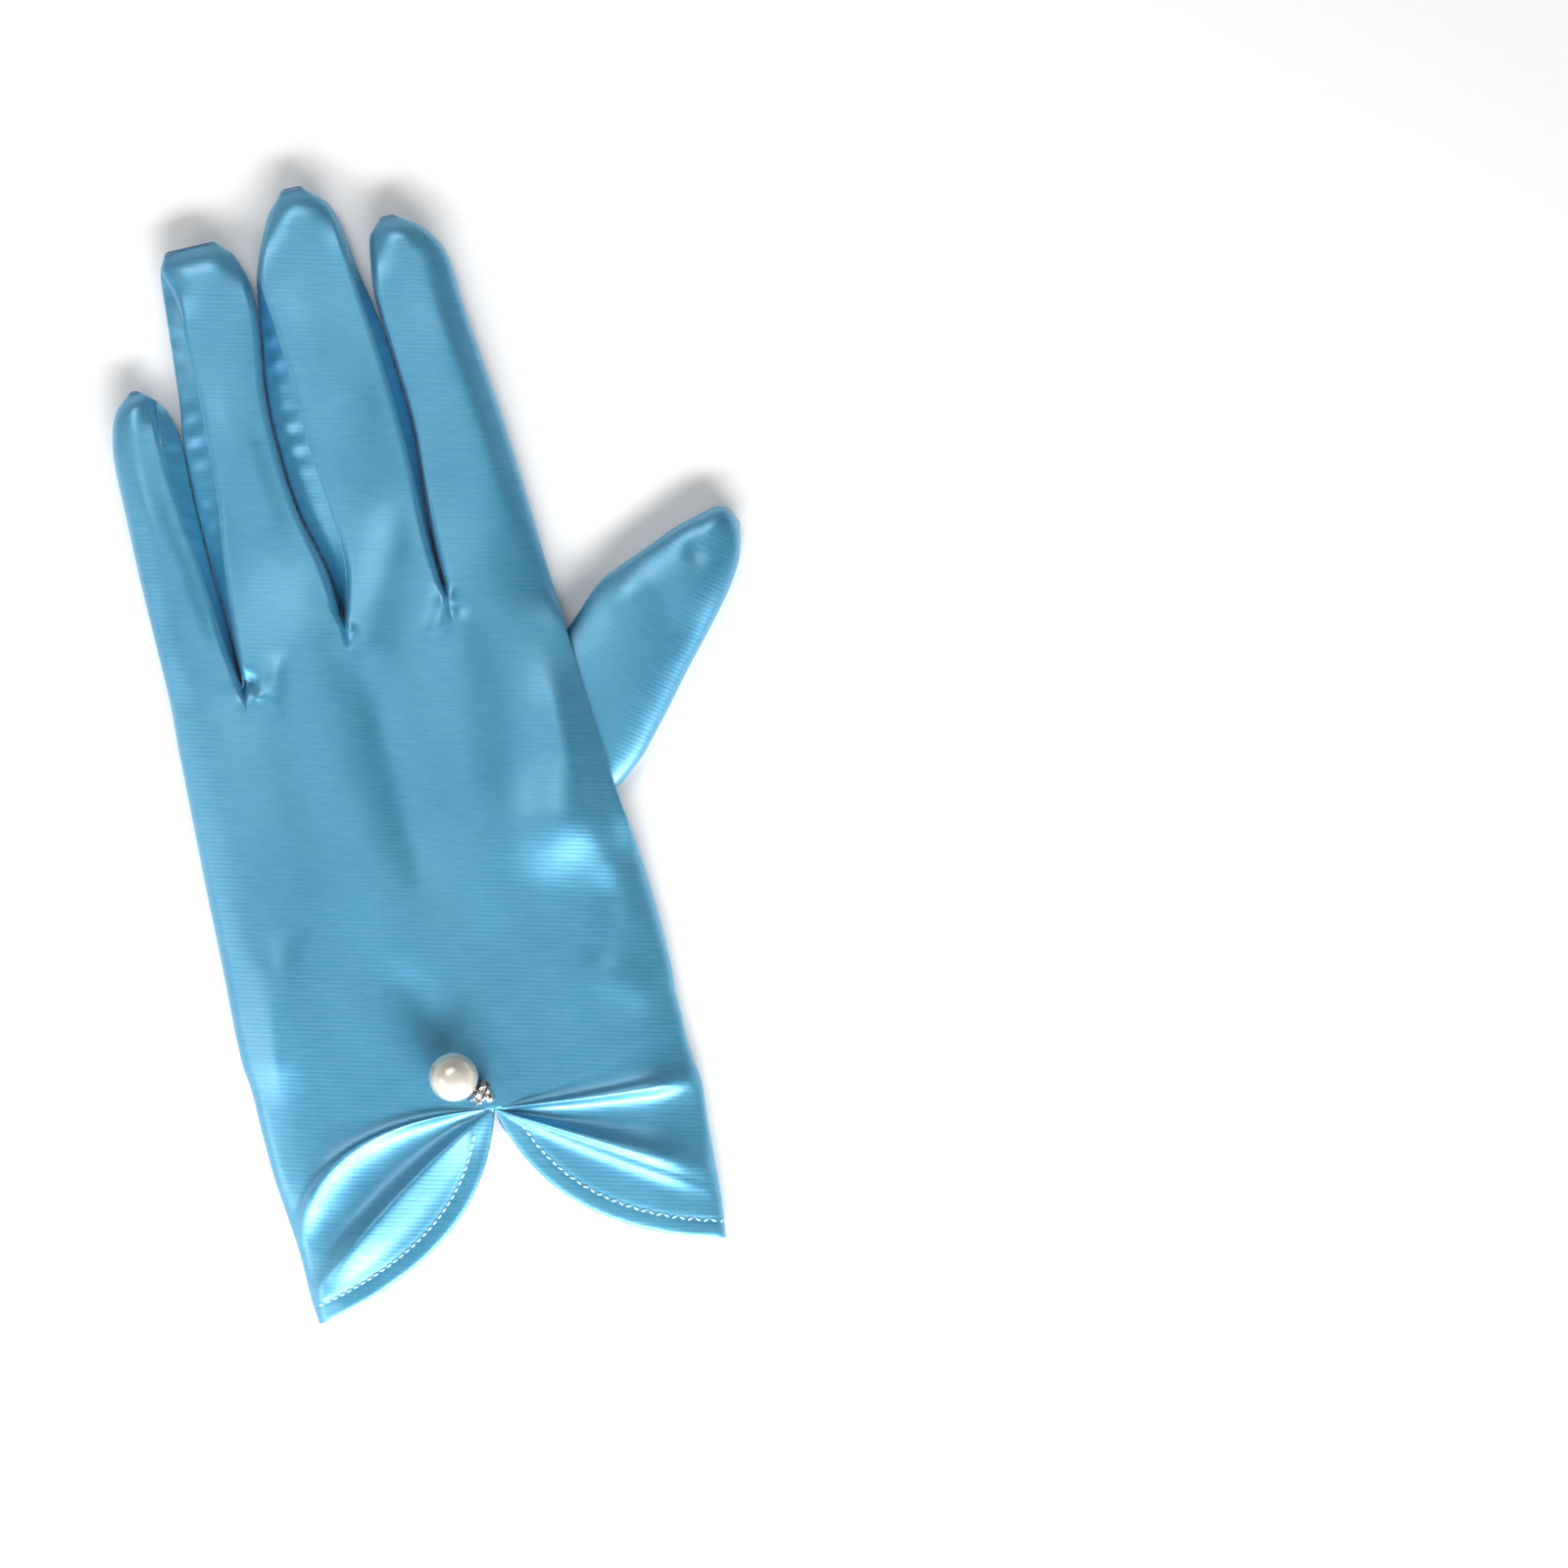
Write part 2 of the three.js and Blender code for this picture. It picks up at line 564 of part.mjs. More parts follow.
function makePalmPanel() {
  const cloth = new Cloth();
  const strip = (finger, at, share) => {
    const { x, y, left, right } = fingerPoint(finger, "palm", at, share);
    const side = x < (left + right) / 2 ? "Left" : "Right";
    const open = hasFourchette(finger, side) ? parted(at) : 0;
    const foot = mix(palmEdge, palmSeam, open);
    const curled = foot * (1 - round(Math.min(x - left, right - x), palmCurl));
    const tip = smooth(0.87, 1, at) ** 2;
    return { p: [x, y, mix(curled, palmEdge, tip)], inward: inwardAt(finger, at, share, 1) };
  };
  const columns = handColumns(palmColumns);
  const top = slitPoint(fingers.length).y;
  const start = cuffPoint("thumb", 0, 1).y;
  const upOf = (y) => (y - start) / (top - start);
  const closing = (y) => smooth(doorHigh - doorSlope, doorHigh, y);
  const cut = (y) => smooth(doorLow, doorLow + doorSlope, y) * (1 - closing(y));
  const doors = [doorLow, doorLow + doorSlope, doorHigh - doorSlope, doorHigh].map(upOf);
  const rows = [0, 0.15, 0.3, ...doors, 0.5 * (doors[1] + doors[2]), 0.94, 1].sort((a, b) => a - b);
  const body = (up, column) => {
    const { x, y } = bodyPoint(column, up);
    const opening = cut(bodyPoint(columns.at(-1), up).y);
    const inset = column.half === "thumb" ? opening * thumbTuck * column.out : 0;
    const ends = { left: bodyPoint(columns[0], up).x, right: bodyPoint(columns.at(-1), up).x };
    const distance = Math.min(x - ends.left, ends.right - x);
    const lifted = palmHeight(distance) * (column.half === "thumb" ? 1 - opening : 1);
    if (up === 1) return strip(fingers[column.k], 0, column.share);
    const atDoor = column.half === "thumb" && column.out === 1 && opening > 0.5;
    return { p: [x - inset, y, lifted], inward: atDoor ? [0, 0, 1] : sideInward(column) };
  };
  cloth.patch(rows, columns, body, true);
  const cuff = (share, column) => {
    const { x, y, endX } = cuffPoint(column.half, share * palmHem, column.out);
    return { p: [x, y, palmHeight(Math.abs(endX - x))], inward: sideInward(column) };
  };
  cloth.patch(palmCuffRows, columns.filter(({ j, gather }) => j <= gather), cuff);
  cloth.patch(palmCuffRows, columns.filter(({ j, gather }) => j >= gather), cuff);
  for (const finger of fingers) {
    cloth.patch(fingerRows, palmColumns, (at, share) => strip(finger, at, share), true);
  }
  return cloth.solid();
}

// A fourchette: the strip down one finger's side, round the slit and up the next finger's side.
function makeFourchette(index) {
  const cloth = new Cloth();
  const lower = fingers[index];
  const upper = fingers[index + 1];
  const stations = [
    ...fourchetteRows.map((at) => ({ finger: lower, side: "Right", at, ...slitTurn(-1, at) })).reverse(),
    { finger: lower, side: "Right", at: 0, hx: 0, hy: -1 },
    ...fourchetteRows.map((at) => ({ finger: upper, side: "Left", at, ...slitTurn(1, at) })),
  ];
  const corner = ({ finger, side, at, hx, hy }, turn) => {
    const piece = turn < 0 ? "back" : "palm";
    const share = side === "Left" ? 0 : 1;
    const { x, y } = fingerPoint(finger, piece, at, share);
    const open = parted(at);
    const slope = fourchetteSlope(finger, side, at);
    const tip = turn < 0 ? tipRound(at) : 1 - smooth(0.87, 1, at) ** 2;
    const meet = turn < 0 ? backEdge : palmEdge;
    const z = mix(meet, mix(meet, turn < 0 ? backSeam : palmSeam, open), tip);
    const { inward, beside } = seam(hx, hy, open, turn, slope);
    const clear = at < fingerRows[2] ? slitGap : gap;
    const away = beside.map((v) => v * clear);
    return { p: [x + away[0], y + away[1]], inward, away, z, slope };
  };
  const at = (station, share) => {
    const top = corner(station, -1);
    const foot = corner(station, 1);
    const high = [top.p[0], top.p[1], top.z - Math.abs(top.away[2])];
    const low = [foot.p[0], foot.p[1], foot.z + Math.abs(foot.away[2])];
    if (share === 0) return { p: high, inward: top.inward };
    if (share === 1) return { p: low, inward: foot.inward };
    const p = high.map((v, i) => mix(v, low[i], share));
    const flat = Math.sin(top.slope);
    return { p, inward: [station.hx * flat, station.hy * flat, -Math.cos(top.slope)] };
  };
  cloth.patch(stations, [0, 0.5, 1], at, true);
  return cloth.solid();
}

const thumb = makeThumb();

function makeThumb() {
  const cloth = new Cloth();
  const rings = [0, 0.06, ...thumbRows.slice(1, -1).map((row) => row.at), 0.985, 1].sort((a, b) => a - b);
  const round16 = spread(16);
  const end = (name, at) => {
    const y = thumbFoot + read(thumbRows, "at", name + "Y", at) * thumbSpread;
    const tucked = read(thumbRows, "at", "tuck", at) * (thumbTuck - 1.5 * gap);
    return { x: edgeOf("thumb", y) + read(thumbRows, "at", name + "X", at) * thumbReach - tucked, y };
  };
  const tipFrom = 0.92;
  const [high, low] = [end("upper", 0.88), end("lower", 0.88)];
  const tipHeart = [(high.x + low.x) / 2, (high.y + low.y) / 2, thumbLoft * 0.4];
  const section = (at, turn) => {
    const upper = end("upper", at);
    const lower = end("lower", at);
    const height = read(thumbRows, "at", "height", at) * thumbLoft;
    const angle = 2 * Math.PI * (turn % 1);
    const across = Math.sign(Math.cos(angle)) * Math.abs(Math.cos(angle)) ** 0.8;
    const x = mix(lower.x, upper.x, (1 + across) / 2);
    const y = mix(lower.y, upper.y, (1 + across) / 2);
    const belt = height * thumbBelt;
    const over = belt + (height - belt) * Math.max(Math.sin(angle), 0) ** 0.8;
    const under = belt * (1 + 1.6 * Math.sin(angle));
    const p = [x, y, Math.max(Math.sin(angle) > 0 ? over : under, 0)];
    return { p, inward: at > tipFrom ? p.map((v, i) => tipHeart[i] - v) : undefined };
  };
  cloth.patch(rings, round16, section);
  const tipRing = round16.slice(0, -1).map((turn) => cloth.add(section(1, turn)));
  const middle = new THREE.Vector3();
  for (const v of tipRing) middle.add(cloth.points[v]);
  middle.divideScalar(tipRing.length);
  middle.x += gap;
  const point = cloth.add({ p: middle.toArray(), inward: [-1, 0, 0] });
  tipRing.forEach((v, i) => cloth.triangle(v, tipRing[(i + 1) % tipRing.length], point));
  return cloth.solid();
}

// The ornament at the gather: a pearl, a rondelle set with crystals and a small ball on one slanted pin.
const ornament = {
  pearl: new THREE.Vector3(pearlAcross, pearlUp, loft * gatherCrown + pearlSize / 2 + gap),
  pin: new THREE.Vector3(0, pinUp, loft * gatherCrown + pinSize / 2 + 2 * gap),
};

function alongPin(distance) {
  const direction = ornament.pin.clone().sub(ornament.pearl).normalize();
  return ornament.pearl.clone().addScaledVector(direction, distance);
}

function makeRondelle() {
  const crystals = 10;
  const outer = rondelleSize / 2;
  const shape = new THREE.Shape();
  const steps = crystals * 4;
  for (let i = 0; i < steps; i += 1) {
    const angle = (2 * Math.PI * i) / steps;
    const radius = outer * (0.93 + 0.07 * Math.cos(crystals * angle));
    const place = [radius * Math.cos(angle), radius * Math.sin(angle)];
    if (i === 0) shape.moveTo(...place);
    else shape.lineTo(...place);
  }
  const geometry = new THREE.ExtrudeGeometry(shape, { depth: rondelleThick, bevelEnabled: false });
  geometry.translate(0, 0, -rondelleThick / 2);
  return geometry;
}

const satin = new THREE.MeshStandardMaterial({ color: 0x4a94bc, roughness: 0.35, metalness: 0 });
const palmSatin = new THREE.MeshStandardMaterial({ color: 0x3f86b0, roughness: 0.35, metalness: 0 });
const nacre = new THREE.MeshStandardMaterial({ color: 0xefe6d6, roughness: 0.2, metalness: 0 });
const silver = new THREE.MeshStandardMaterial({ color: 0xc9ccd2, roughness: 0.2, metalness: 0.9 });

const glove = new THREE.Group();
glove.position.set(-handMiddle, -restY, 0);

function piece(name, geometry, material) {
  const mesh = new THREE.Mesh(geometry, material);
  mesh.name = name;
  glove.add(mesh);
  return mesh;
}

piece("back_panel", makeBackPanel(), satin);
piece("palm_panel", makePalmPanel(), palmSatin);
fingers.slice(0, -1).forEach((finger, i) => {
  piece(`fourchette_${finger.name}_${fingers[i + 1].name}`, makeFourchette(i), satin);
});
piece("thumb", thumb, satin);

piece("pearl", new THREE.SphereGeometry(pearlSize / 2, 16, 12), nacre).position.copy(ornament.pearl);
const rondelle = piece("crystal_rondelle", makeRondelle(), silver);
rondelle.position.copy(alongPin(pearlSize / 2 + gap + rondelleThick / 2));
rondelle.quaternion.setFromUnitVectors(
  new THREE.Vector3(0, 0, 1),
  ornament.pin.clone().sub(ornament.pearl).normalize(),
);
piece("pin_ball", new THREE.SphereGeometry(pinSize / 2, 12, 8), silver).position.copy(
  alongPin(pearlSize / 2 + gap + rondelleThick + gap + pinSize / 2),
);

export default glove;
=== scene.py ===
# %% [markdown]
# # A satin dress glove, laid flat
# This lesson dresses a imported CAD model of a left-hand dress glove. The glove is stretch satin, lies on
# its palm with its back up, and has a split cuff that is gathered under a pearl. The CAD model holds the
# sizes. Here the cloth gets its folds, hem, thread and sheen, and the ornament its pearl and crystals.

# %% Load the frame
import math

import bmesh
import bpy
import numpy as np
from mathutils import Matrix, Vector
from mathutils.bvhtree import BVHTree


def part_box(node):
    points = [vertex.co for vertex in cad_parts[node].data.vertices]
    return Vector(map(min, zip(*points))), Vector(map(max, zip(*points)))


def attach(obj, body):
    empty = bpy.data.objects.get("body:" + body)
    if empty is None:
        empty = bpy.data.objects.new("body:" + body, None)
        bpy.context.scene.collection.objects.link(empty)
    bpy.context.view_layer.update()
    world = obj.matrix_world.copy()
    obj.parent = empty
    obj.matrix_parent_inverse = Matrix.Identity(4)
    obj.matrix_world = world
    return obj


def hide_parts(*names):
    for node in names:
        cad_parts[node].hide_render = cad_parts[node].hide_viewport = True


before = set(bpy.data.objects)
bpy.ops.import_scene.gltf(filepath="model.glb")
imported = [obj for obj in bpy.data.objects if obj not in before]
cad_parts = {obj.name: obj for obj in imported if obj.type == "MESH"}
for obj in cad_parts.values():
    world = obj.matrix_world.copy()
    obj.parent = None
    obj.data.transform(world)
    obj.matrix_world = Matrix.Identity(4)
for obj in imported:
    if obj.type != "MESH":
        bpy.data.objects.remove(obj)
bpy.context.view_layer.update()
print("nodes", sorted(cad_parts))

# %% [markdown]
# ## Sizes
# A glove pattern is drafted from a few lengths of the hand and shares of them, and so is this one. It is
# drawn in millimetres from the gather at the wrist, with X to the thumb and Y to the fingertips. The
# frame's origin lies under the palm, so each point is moved there when it is placed.

# %% Driving sizes
MM = 0.001
HAND_WIDTH = 85.4
HAND_MIDDLE = -4.0
PALM_LENGTH = 100.0
REST_Y = 0.6 * PALM_LENGTH
LOFT = 9.0
SIDE_SEAM = 3.5
print("palm", HAND_WIDTH, "mm wide,", PALM_LENGTH, "mm long and", LOFT, "mm high where it lies")

# %% [markdown]
# ## Reading a table
# An outline could be a curve object that is pulled into shape by hand. Tables of shares are used instead,
# because they can be read, and one length changes the whole glove. Between two rows a smooth curve runs
# through the values, so a dozen numbers give a flowing edge. The helpers take whole arrays of points,
# because each piece of cloth has thousands.


# %% Tables and soft steps
def rows(columns, *values):
    """A table: one dictionary for each row, with the given column names."""
    names = columns.split()
    return [dict(zip(names, row)) for row in values]


def mix(a, b, share):
    return a + (b - a) * share


def smooth(start, end, x):
    s = np.clip((x - start) / (end - start), 0, 1)
    return s * s * (3 - 2 * s)


def bump(distance, width):
    """A soft hill: 1 in the middle, and gone at about twice the width."""
    return np.exp(-((distance / width) ** 2))


def quarter(distance, radius):
    """Quarter round of a curl: 0 on the edge and 1 from its radius on."""
    left = 1 - np.clip(distance / radius, 0, 1)
    return np.sqrt(1 - left * left)


print("a soft step is", smooth(0, 1, 0.25), "a quarter of the way")


# %% A curve through a table
def read(table, place, column, x):
    at = np.array([row[place] for row in table], float)
    value = np.array([row[column] for row in table], float)
    last = len(table) - 1
    lower = np.maximum(np.arange(last + 1) - 1, 0)
    upper = np.minimum(np.arange(last + 1) + 1, last)
    slope = (value[upper] - value[lower]) / (at[upper] - at[lower])
    i = np.clip(np.searchsorted(at, x, side="right") - 1, 0, last - 1)
    span = at[i + 1] - at[i]
    s = np.clip((x - at[i]) / span, 0, 1)
    start = value[i] * (2 * s**3 - 3 * s**2 + 1)
    end = value[i + 1] * (3 * s**2 - 2 * s**3)
    tangents = slope[i] * (s**3 - 2 * s**2 + s) + slope[i + 1] * (s**3 - s**2)
    return start + end + tangents * span


print("read between two rows:", read(rows("at value", (0, 0), (1, 2)), "at", "value", 0.5))

# %% [markdown]
# ## Outlines of the fingers
# Each finger of a glove that lies flat is an envelope of cloth with a blunt tip. Its back is narrower
# than its palm side wherever the strip between two fingers leans over. So a finger's table holds four
# edges, in shares of its width, at steps from its root to its tip.


# %% Table of the fingers
def make_finger(name, length, width, across, *edges):
    """A finger's name, sizes and place, and its four edges at steps from root to tip."""
    table = rows("at palm_left back_left back_right palm_right", *edges)
    return {"name": name, "length": length, "width": width, "across": across, "rows": table}


FINGERS = [
    make_finger(
        "little",
        59.0,
        14.0,
        -0.4485,
        (0.2, -0.52, -0.52, 0.42, 0.5),
        (0.4, -0.53, -0.53, 0.35, 0.46),
        (0.6, -0.52, -0.52, 0.25, 0.45),
        (0.8, -0.5, -0.5, 0.2, 0.47),
        (0.9, -0.41, -0.41, 0.26, 0.42),
        (0.96, -0.27, -0.27, 0.27, 0.27),
        (1, -0.1, -0.1, 0.11, 0.11),
    ),
    make_finger(
        "ring",
        85.0,
        18.0,
        -0.24,
        (0.15, -0.52, -0.48, 0.65, 0.66),
        (0.3, -0.55, -0.39, 0.49, 0.5),
        (0.45, -0.56, -0.29, 0.42, 0.43),
        (0.6, -0.53, -0.26, 0.42, 0.43),
        (0.75, -0.47, -0.26, 0.51, 0.52),
        (0.88, -0.42, -0.28, 0.56, 0.57),
        (0.96, -0.38, -0.38, 0.46, 0.46),
        (1, -0.31, -0.31, 0.33, 0.33),
    ),
    make_finger(
        "middle",
        92.0,
        22.0,
        0.0235,
        (0.12, -0.43, -0.28, 0.51, 0.52),
        (0.25, -0.57, -0.28, 0.5, 0.55),
        (0.4, -0.62, -0.33, 0.49, 0.58),
        (0.55, -0.61, -0.35, 0.46, 0.55),
        (0.7, -0.52, -0.39, 0.4, 0.46),
        (0.82, -0.47, -0.44, 0.39, 0.43),
        (0.93, -0.29, -0.29, 0.35, 0.35),
        (1, -0.1, -0.1, 0.14, 0.14),
    ),
    make_finger(
        "index",
        82.0,
        18.0,
        0.281,
        (0.15, -0.52, -0.5, 0.62, 0.62),
        (0.3, -0.47, -0.45, 0.58, 0.58),
        (0.45, -0.43, -0.41, 0.53, 0.53),
        (0.6, -0.46, -0.44, 0.46, 0.46),
        (0.75, -0.49, -0.47, 0.39, 0.39),
        (0.88, -0.51, -0.5, 0.34, 0.34),
        (0.96, -0.45, -0.45, 0.12, 0.12),
        (1, -0.33, -0.33, -0.09, -0.09),
    ),
]
print([(finger["name"], finger["length"]) for finger in FINGERS])

# %% [markdown]
# ## Slits and side strips
# Two fingers part at a slit. A fourchette, the narrow strip between them, parts the back from the palm up
# to near the fingertip, where the two are sewn together. Where the palm sides of two fingers nearly meet,
# they are drawn together, so that no sliver of the table shows between them.

# %% The slits
SLITS = rows(
    "across up",
    (-0.532, 0.96),
    (-0.354, 0.95),
    (-0.084, 1.03),
    (0.169, 1.045),
    (0.4195, 1.03),
)


def slit_point(k):
    return SLITS[k]["across"] * HAND_WIDTH, SLITS[k]["up"] * PALM_LENGTH


def has_fourchette(k, side):
    return not (k == 0 and side == "left") and not (k == len(FINGERS) - 1 and side == "right")


print("slits at", [tuple(round(v, 1) for v in slit_point(k)) for k in range(len(SLITS))])

# %% Edges of a finger
SLIT_ROOM = 0.3
ROOM_OPENS = (0, 0.04)
ROOM_CLOSES = (0.12, 0.3)
SLIT_LEFT = 0.12
NEAR_GAP = (2.2, 4.5)
DRAWN_FROM = (0, 0.05)
DRAWN_UP_TO = (0.78, 0.92)
BACK_FOLLOWS = 0.5


def plain_edge(k, piece, side, at):
    finger = FINGERS[k]
    column = f"{piece}_{side}"
    axis = finger["across"] * HAND_WIDTH
    slit_x = slit_point(k if side == "left" else k + 1)[0]
    root = {"at": 0, column: (slit_x - axis) / finger["width"]}
    plain = axis + read([root] + finger["rows"], "at", column, at) * finger["width"]
    if not has_fourchette(k, side):
        return plain
    room = SLIT_ROOM * smooth(*ROOM_OPENS, at) * (1 - smooth(*ROOM_CLOSES, at))
    return plain + (room if side == "left" else -room)


def closing(k, side, at):
    """Half of the gap to the next finger, which the palm's edge closes where the two nearly meet."""
    if not has_fourchette(k, side):
        return 0 * at
    other = k + 1 if side == "right" else k - 1
    other_side = "left" if side == "right" else "right"
    slit_y = slit_point(k + 1 if side == "right" else k)[1]
    y = mix(slit_y, PALM_LENGTH + FINGERS[k]["length"], at)
    other_at = (y - slit_y) / (PALM_LENGTH + FINGERS[other]["length"] - slit_y)
    mine = plain_edge(k, "palm", side, at)
    theirs = plain_edge(other, "palm", other_side, np.clip(other_at, 0, 1))
    gap = np.abs(theirs - mine)
    near = 1 - smooth(*NEAR_GAP, gap)
    near = near * (1 - smooth(*DRAWN_UP_TO, np.maximum(at, other_at))) * smooth(*DRAWN_FROM, at)
    return np.maximum(gap / 2 - SLIT_LEFT, 0) * near * (1 if side == "right" else -1)


def finger_edge(k, piece, side, at):
    plain = plain_edge(k, piece, side, at)
    return plain + closing(k, side, at) * (1.0 if piece == "palm" else BACK_FOLLOWS)


print("the ring finger begins at", finger_edge(1, "back", "left", np.zeros(1)).round(1), "mm")

# %% A point of a finger
TIP_CORNER = 1.4
TIP_ROUNDS = (0.95, 1)


def finger_point(k, piece, at, share):
    finger = FINGERS[k]
    root = mix(slit_point(k)[1], slit_point(k + 1)[1], share)
    left = finger_edge(k, piece, "left", at)
    right = finger_edge(k, piece, "right", at)
    x = mix(left, right, share)
    y = mix(root, PALM_LENGTH + finger["length"], at)
    radius = np.minimum(TIP_CORNER, (right - left) / 2)
    corner = radius * (1 - quarter(np.minimum(x - left, right - x), radius))
    return x, y - corner * smooth(*TIP_ROUNDS, at), left, right


tip_x, tip_y, _, _ = finger_point(2, "back", np.ones(1), np.full(1, 0.5))
print("middle fingertip at", tip_x.round(1), tip_y.round(1), "mm")

# %% [markdown]
# ## The hand and the cuff
# The hand's two sides bow a little between the wrist and the fingers. Below the wrist the cuff opens in
# two wings, and every fold of a wing runs into the gather. A wing could be a cloth simulation, but its
# folds would land by chance. So it is drawn as a fan of curves that all start at the gather, and each
# curve bends towards its end on the side of the cuff.

# %% Sides of the hand
SIDES = rows(
    "up little thumb",
    (0, 0.503, 0.53),
    (0.1, 0.507, 0.533),
    (0.22, 0.515, 0.536),
    (0.4, 0.508, 0.528),
    (0.55, 0.504, 0.508),
    (0.7, 0.498, 0.492),
    (0.85, 0.492, 0.48),
    (1.05, 0.486, 0.467),
)


def side_edge(little, y):
    up = y / PALM_LENGTH
    on_little = -read(SIDES, "up", "little", up)
    on_thumb = read(SIDES, "up", "thumb", up)
    return HAND_MIDDLE + np.where(little, on_little, on_thumb) * HAND_WIDTH


print("width at the wrist", np.ptp(side_edge(np.array([True, False]), np.zeros(2))).round(1), "mm")

# %% Columns across the hand
PER_FINGER = 36
LAST_COLUMN = PER_FINGER * len(FINGERS)
PAST_SLIT = 14
GATHER = 2 * PER_FINGER + PAST_SLIT


def spaced(u):
    """Columns lie closer together at a finger's two sides, where the cloth curls down."""
    return 0.5 - 0.5 * np.cos(math.pi * u)


def column_facts(j):
    """Finger of each column, its place at the roots, its half of the cuff, and how far out it is."""
    k = np.minimum(j // PER_FINGER, len(FINGERS) - 1)
    share = spaced((j - k * PER_FINGER) / PER_FINGER)
    slit_x = np.array([slit_point(i)[0] for i in range(len(SLITS))])
    slit_y = np.array([slit_point(i)[1] for i in range(len(SLITS))])
    root_x = mix(slit_x[k], slit_x[k + 1], share)
    root_y = mix(slit_y[k], slit_y[k + 1], share)
    gather_share = spaced(PAST_SLIT / PER_FINGER)
    middle = mix(slit_x[2], slit_x[3], gather_share)
    little = j <= GATHER
    side_x = np.where(little, slit_x[0], slit_x[4])
    out = (root_x - middle) / (side_x - middle)
    return {"k": k, "x": root_x, "y": root_y, "little": little, "out": out}


print(LAST_COLUMN + 1, "columns, with the gather at column", GATHER)

# %% The fans of the cuff
CUFF_DEPTH = 36.0


def placed(table):
    return [dict(row, at=i / (len(table) - 1)) for i, row in enumerate(table)]


CURVE = "edge down bend bend_down"
LITTLE_TABLE = placed(
    rows(
        CURVE,
        (0.507, -0.28, 0.42, -0.17),
        (0.503, 0.08, 0.64, -0.18),
        (0.492, 0.34, 0.74, -0.16),
        (0.484, 0.56, 0.84, -0.14),
        (0.483, 0.7, 0.49, 0.09),
        (0.482, 0.84, 0.4, 0.28),
        (0.48, 0.9, 0.26, 0.52),
        (0.478, 0.967, 0.155, 0.77),
    )
)
THUMB_TABLE = placed(
    rows(
        CURVE,
        (0.533, -0.28, 0.43, -0.06),
        (0.532, -0.08, 0.48, 0),
        (0.543, 0.11, 0.52, 0.09),
        (0.538, 0.28, 0.36, 0.17),
        (0.532, 0.5, 0.33, 0.21),
        (0.527, 0.75, 0.29, 0.25),
        (0.521, 0.89, 0.22, 0.5),
        (0.515, 1.014, 0.15, 0.78),
    )
)


def cuff_curve(little, share, out):
    """A point of the cuff, at a share of the way from the wrist to the hem."""
    def value(column):
        on_little = read(LITTLE_TABLE, "at", column, share)
        on_thumb = read(THUMB_TABLE, "at", column, share)
        return np.where(little, on_little, on_thumb)

    end_x = HAND_MIDDLE + np.where(little, -1, 1) * value("edge") * HAND_WIDTH
    end_y = -value("down") * CUFF_DEPTH
    bend_x = value("bend") * end_x
    bend_y = -value("bend_down") * CUFF_DEPTH
    inner = 1 - out
    x = out * out * end_x + 2 * out * inner * bend_x
    y = out * out * end_y + 2 * out * inner * bend_y
    return x, y, end_x


print("cuff", CUFF_DEPTH, "mm deep, of", len(LITTLE_TABLE), "curves on each side")

# %% A point of the hand
BOW_FADES = (0, 0.12)


def body_place(column, up):
    start_x, start_y, start_end = cuff_curve(column["little"], 0 * up, column["out"])
    y = mix(start_y, column["y"], up)
    straight = mix(start_x, column["x"], up)
    corner = np.where(column["little"], slit_point(0)[0], slit_point(4)[0])
    bow = side_edge(column["little"], y) - mix(start_end, corner, up)
    bow = bow * smooth(*BOW_FADES, up) * smooth(*BOW_FADES, 1 - up)
    return straight + bow * column["out"] ** 3, y


def side_lines(w):
    """X of the hand's two sides at each share of the way up."""
    ends = (column_facts(np.full(len(w), j)) for j in (0, LAST_COLUMN))
    return [body_place(end, w)[0] for end in ends]


print("the sides meet the cuff at", [round(float(x[0]), 1) for x in side_lines(np.zeros(1))], "mm")

# %% [markdown]
# ## Height of the cloth
# An empty glove isn't flat: the cloth is turned at each seam and springs up from it, first in a small
# tight curl and then in a long soft slope. A bevel would give the curl alone, and a hard bright line
# along every side. Here the curl and the slope are blended in the formula of the height.

# %% Rise from a side seam
SIDE_CURL = 2.4
SIDE_SLOPE = 13.0
FINGER_CURL = 1.2
FINGER_SLOPE = 6.0
CURL_SHARE = 0.3


def soft_rise(distance, curl, slope):
    """How the cloth rises from a seam: a small curl, then a long soft slope."""
    gentle = 1 - (1 - np.clip(distance / slope, 0, 1)) ** 2
    return mix(gentle, quarter(distance, curl), CURL_SHARE)


def side_rise(distance):
    return soft_rise(distance, SIDE_CURL, SIDE_SLOPE)


def finger_rise(distance):
    return soft_rise(distance, FINGER_CURL, FINGER_SLOPE)


print("5 mm from the side the cloth has", side_rise(5.0).round(2), "of its height")

# %% Height of a finger
FINGER_LOFT = 7.2
ROOT_LOFT = LOFT * 0.92
LOFT_FALLS = (0, 0.3)
BACK_SEAM = 6.9
PARTED_UP_TO = (0.8, 0.95)
OUTER_CHANGES = (0, 0.4)
TIP_FALLS = (0.91, 1)


def parted(at):
    return 1 - smooth(*PARTED_UP_TO, at)


def tip_round(at):
    return np.sqrt(np.maximum(1 - smooth(*TIP_FALLS, at) ** 2, 0))


def finger_drop(k, side, at, distance, crown):
    """How far the back of a finger falls towards one of its sides."""
    opening = has_fourchette(k, side) * parted(at)
    reach = np.minimum(distance / FINGER_CURL, 1)
    gentle = 1 - (1 - reach) ** 2
    outer = mix(side_rise(distance), finger_rise(distance), smooth(*OUTER_CHANGES, at))
    foot = mix(SIDE_SEAM, BACK_SEAM, opening)
    return (crown - foot) * (1 - mix(outer, gentle, opening))


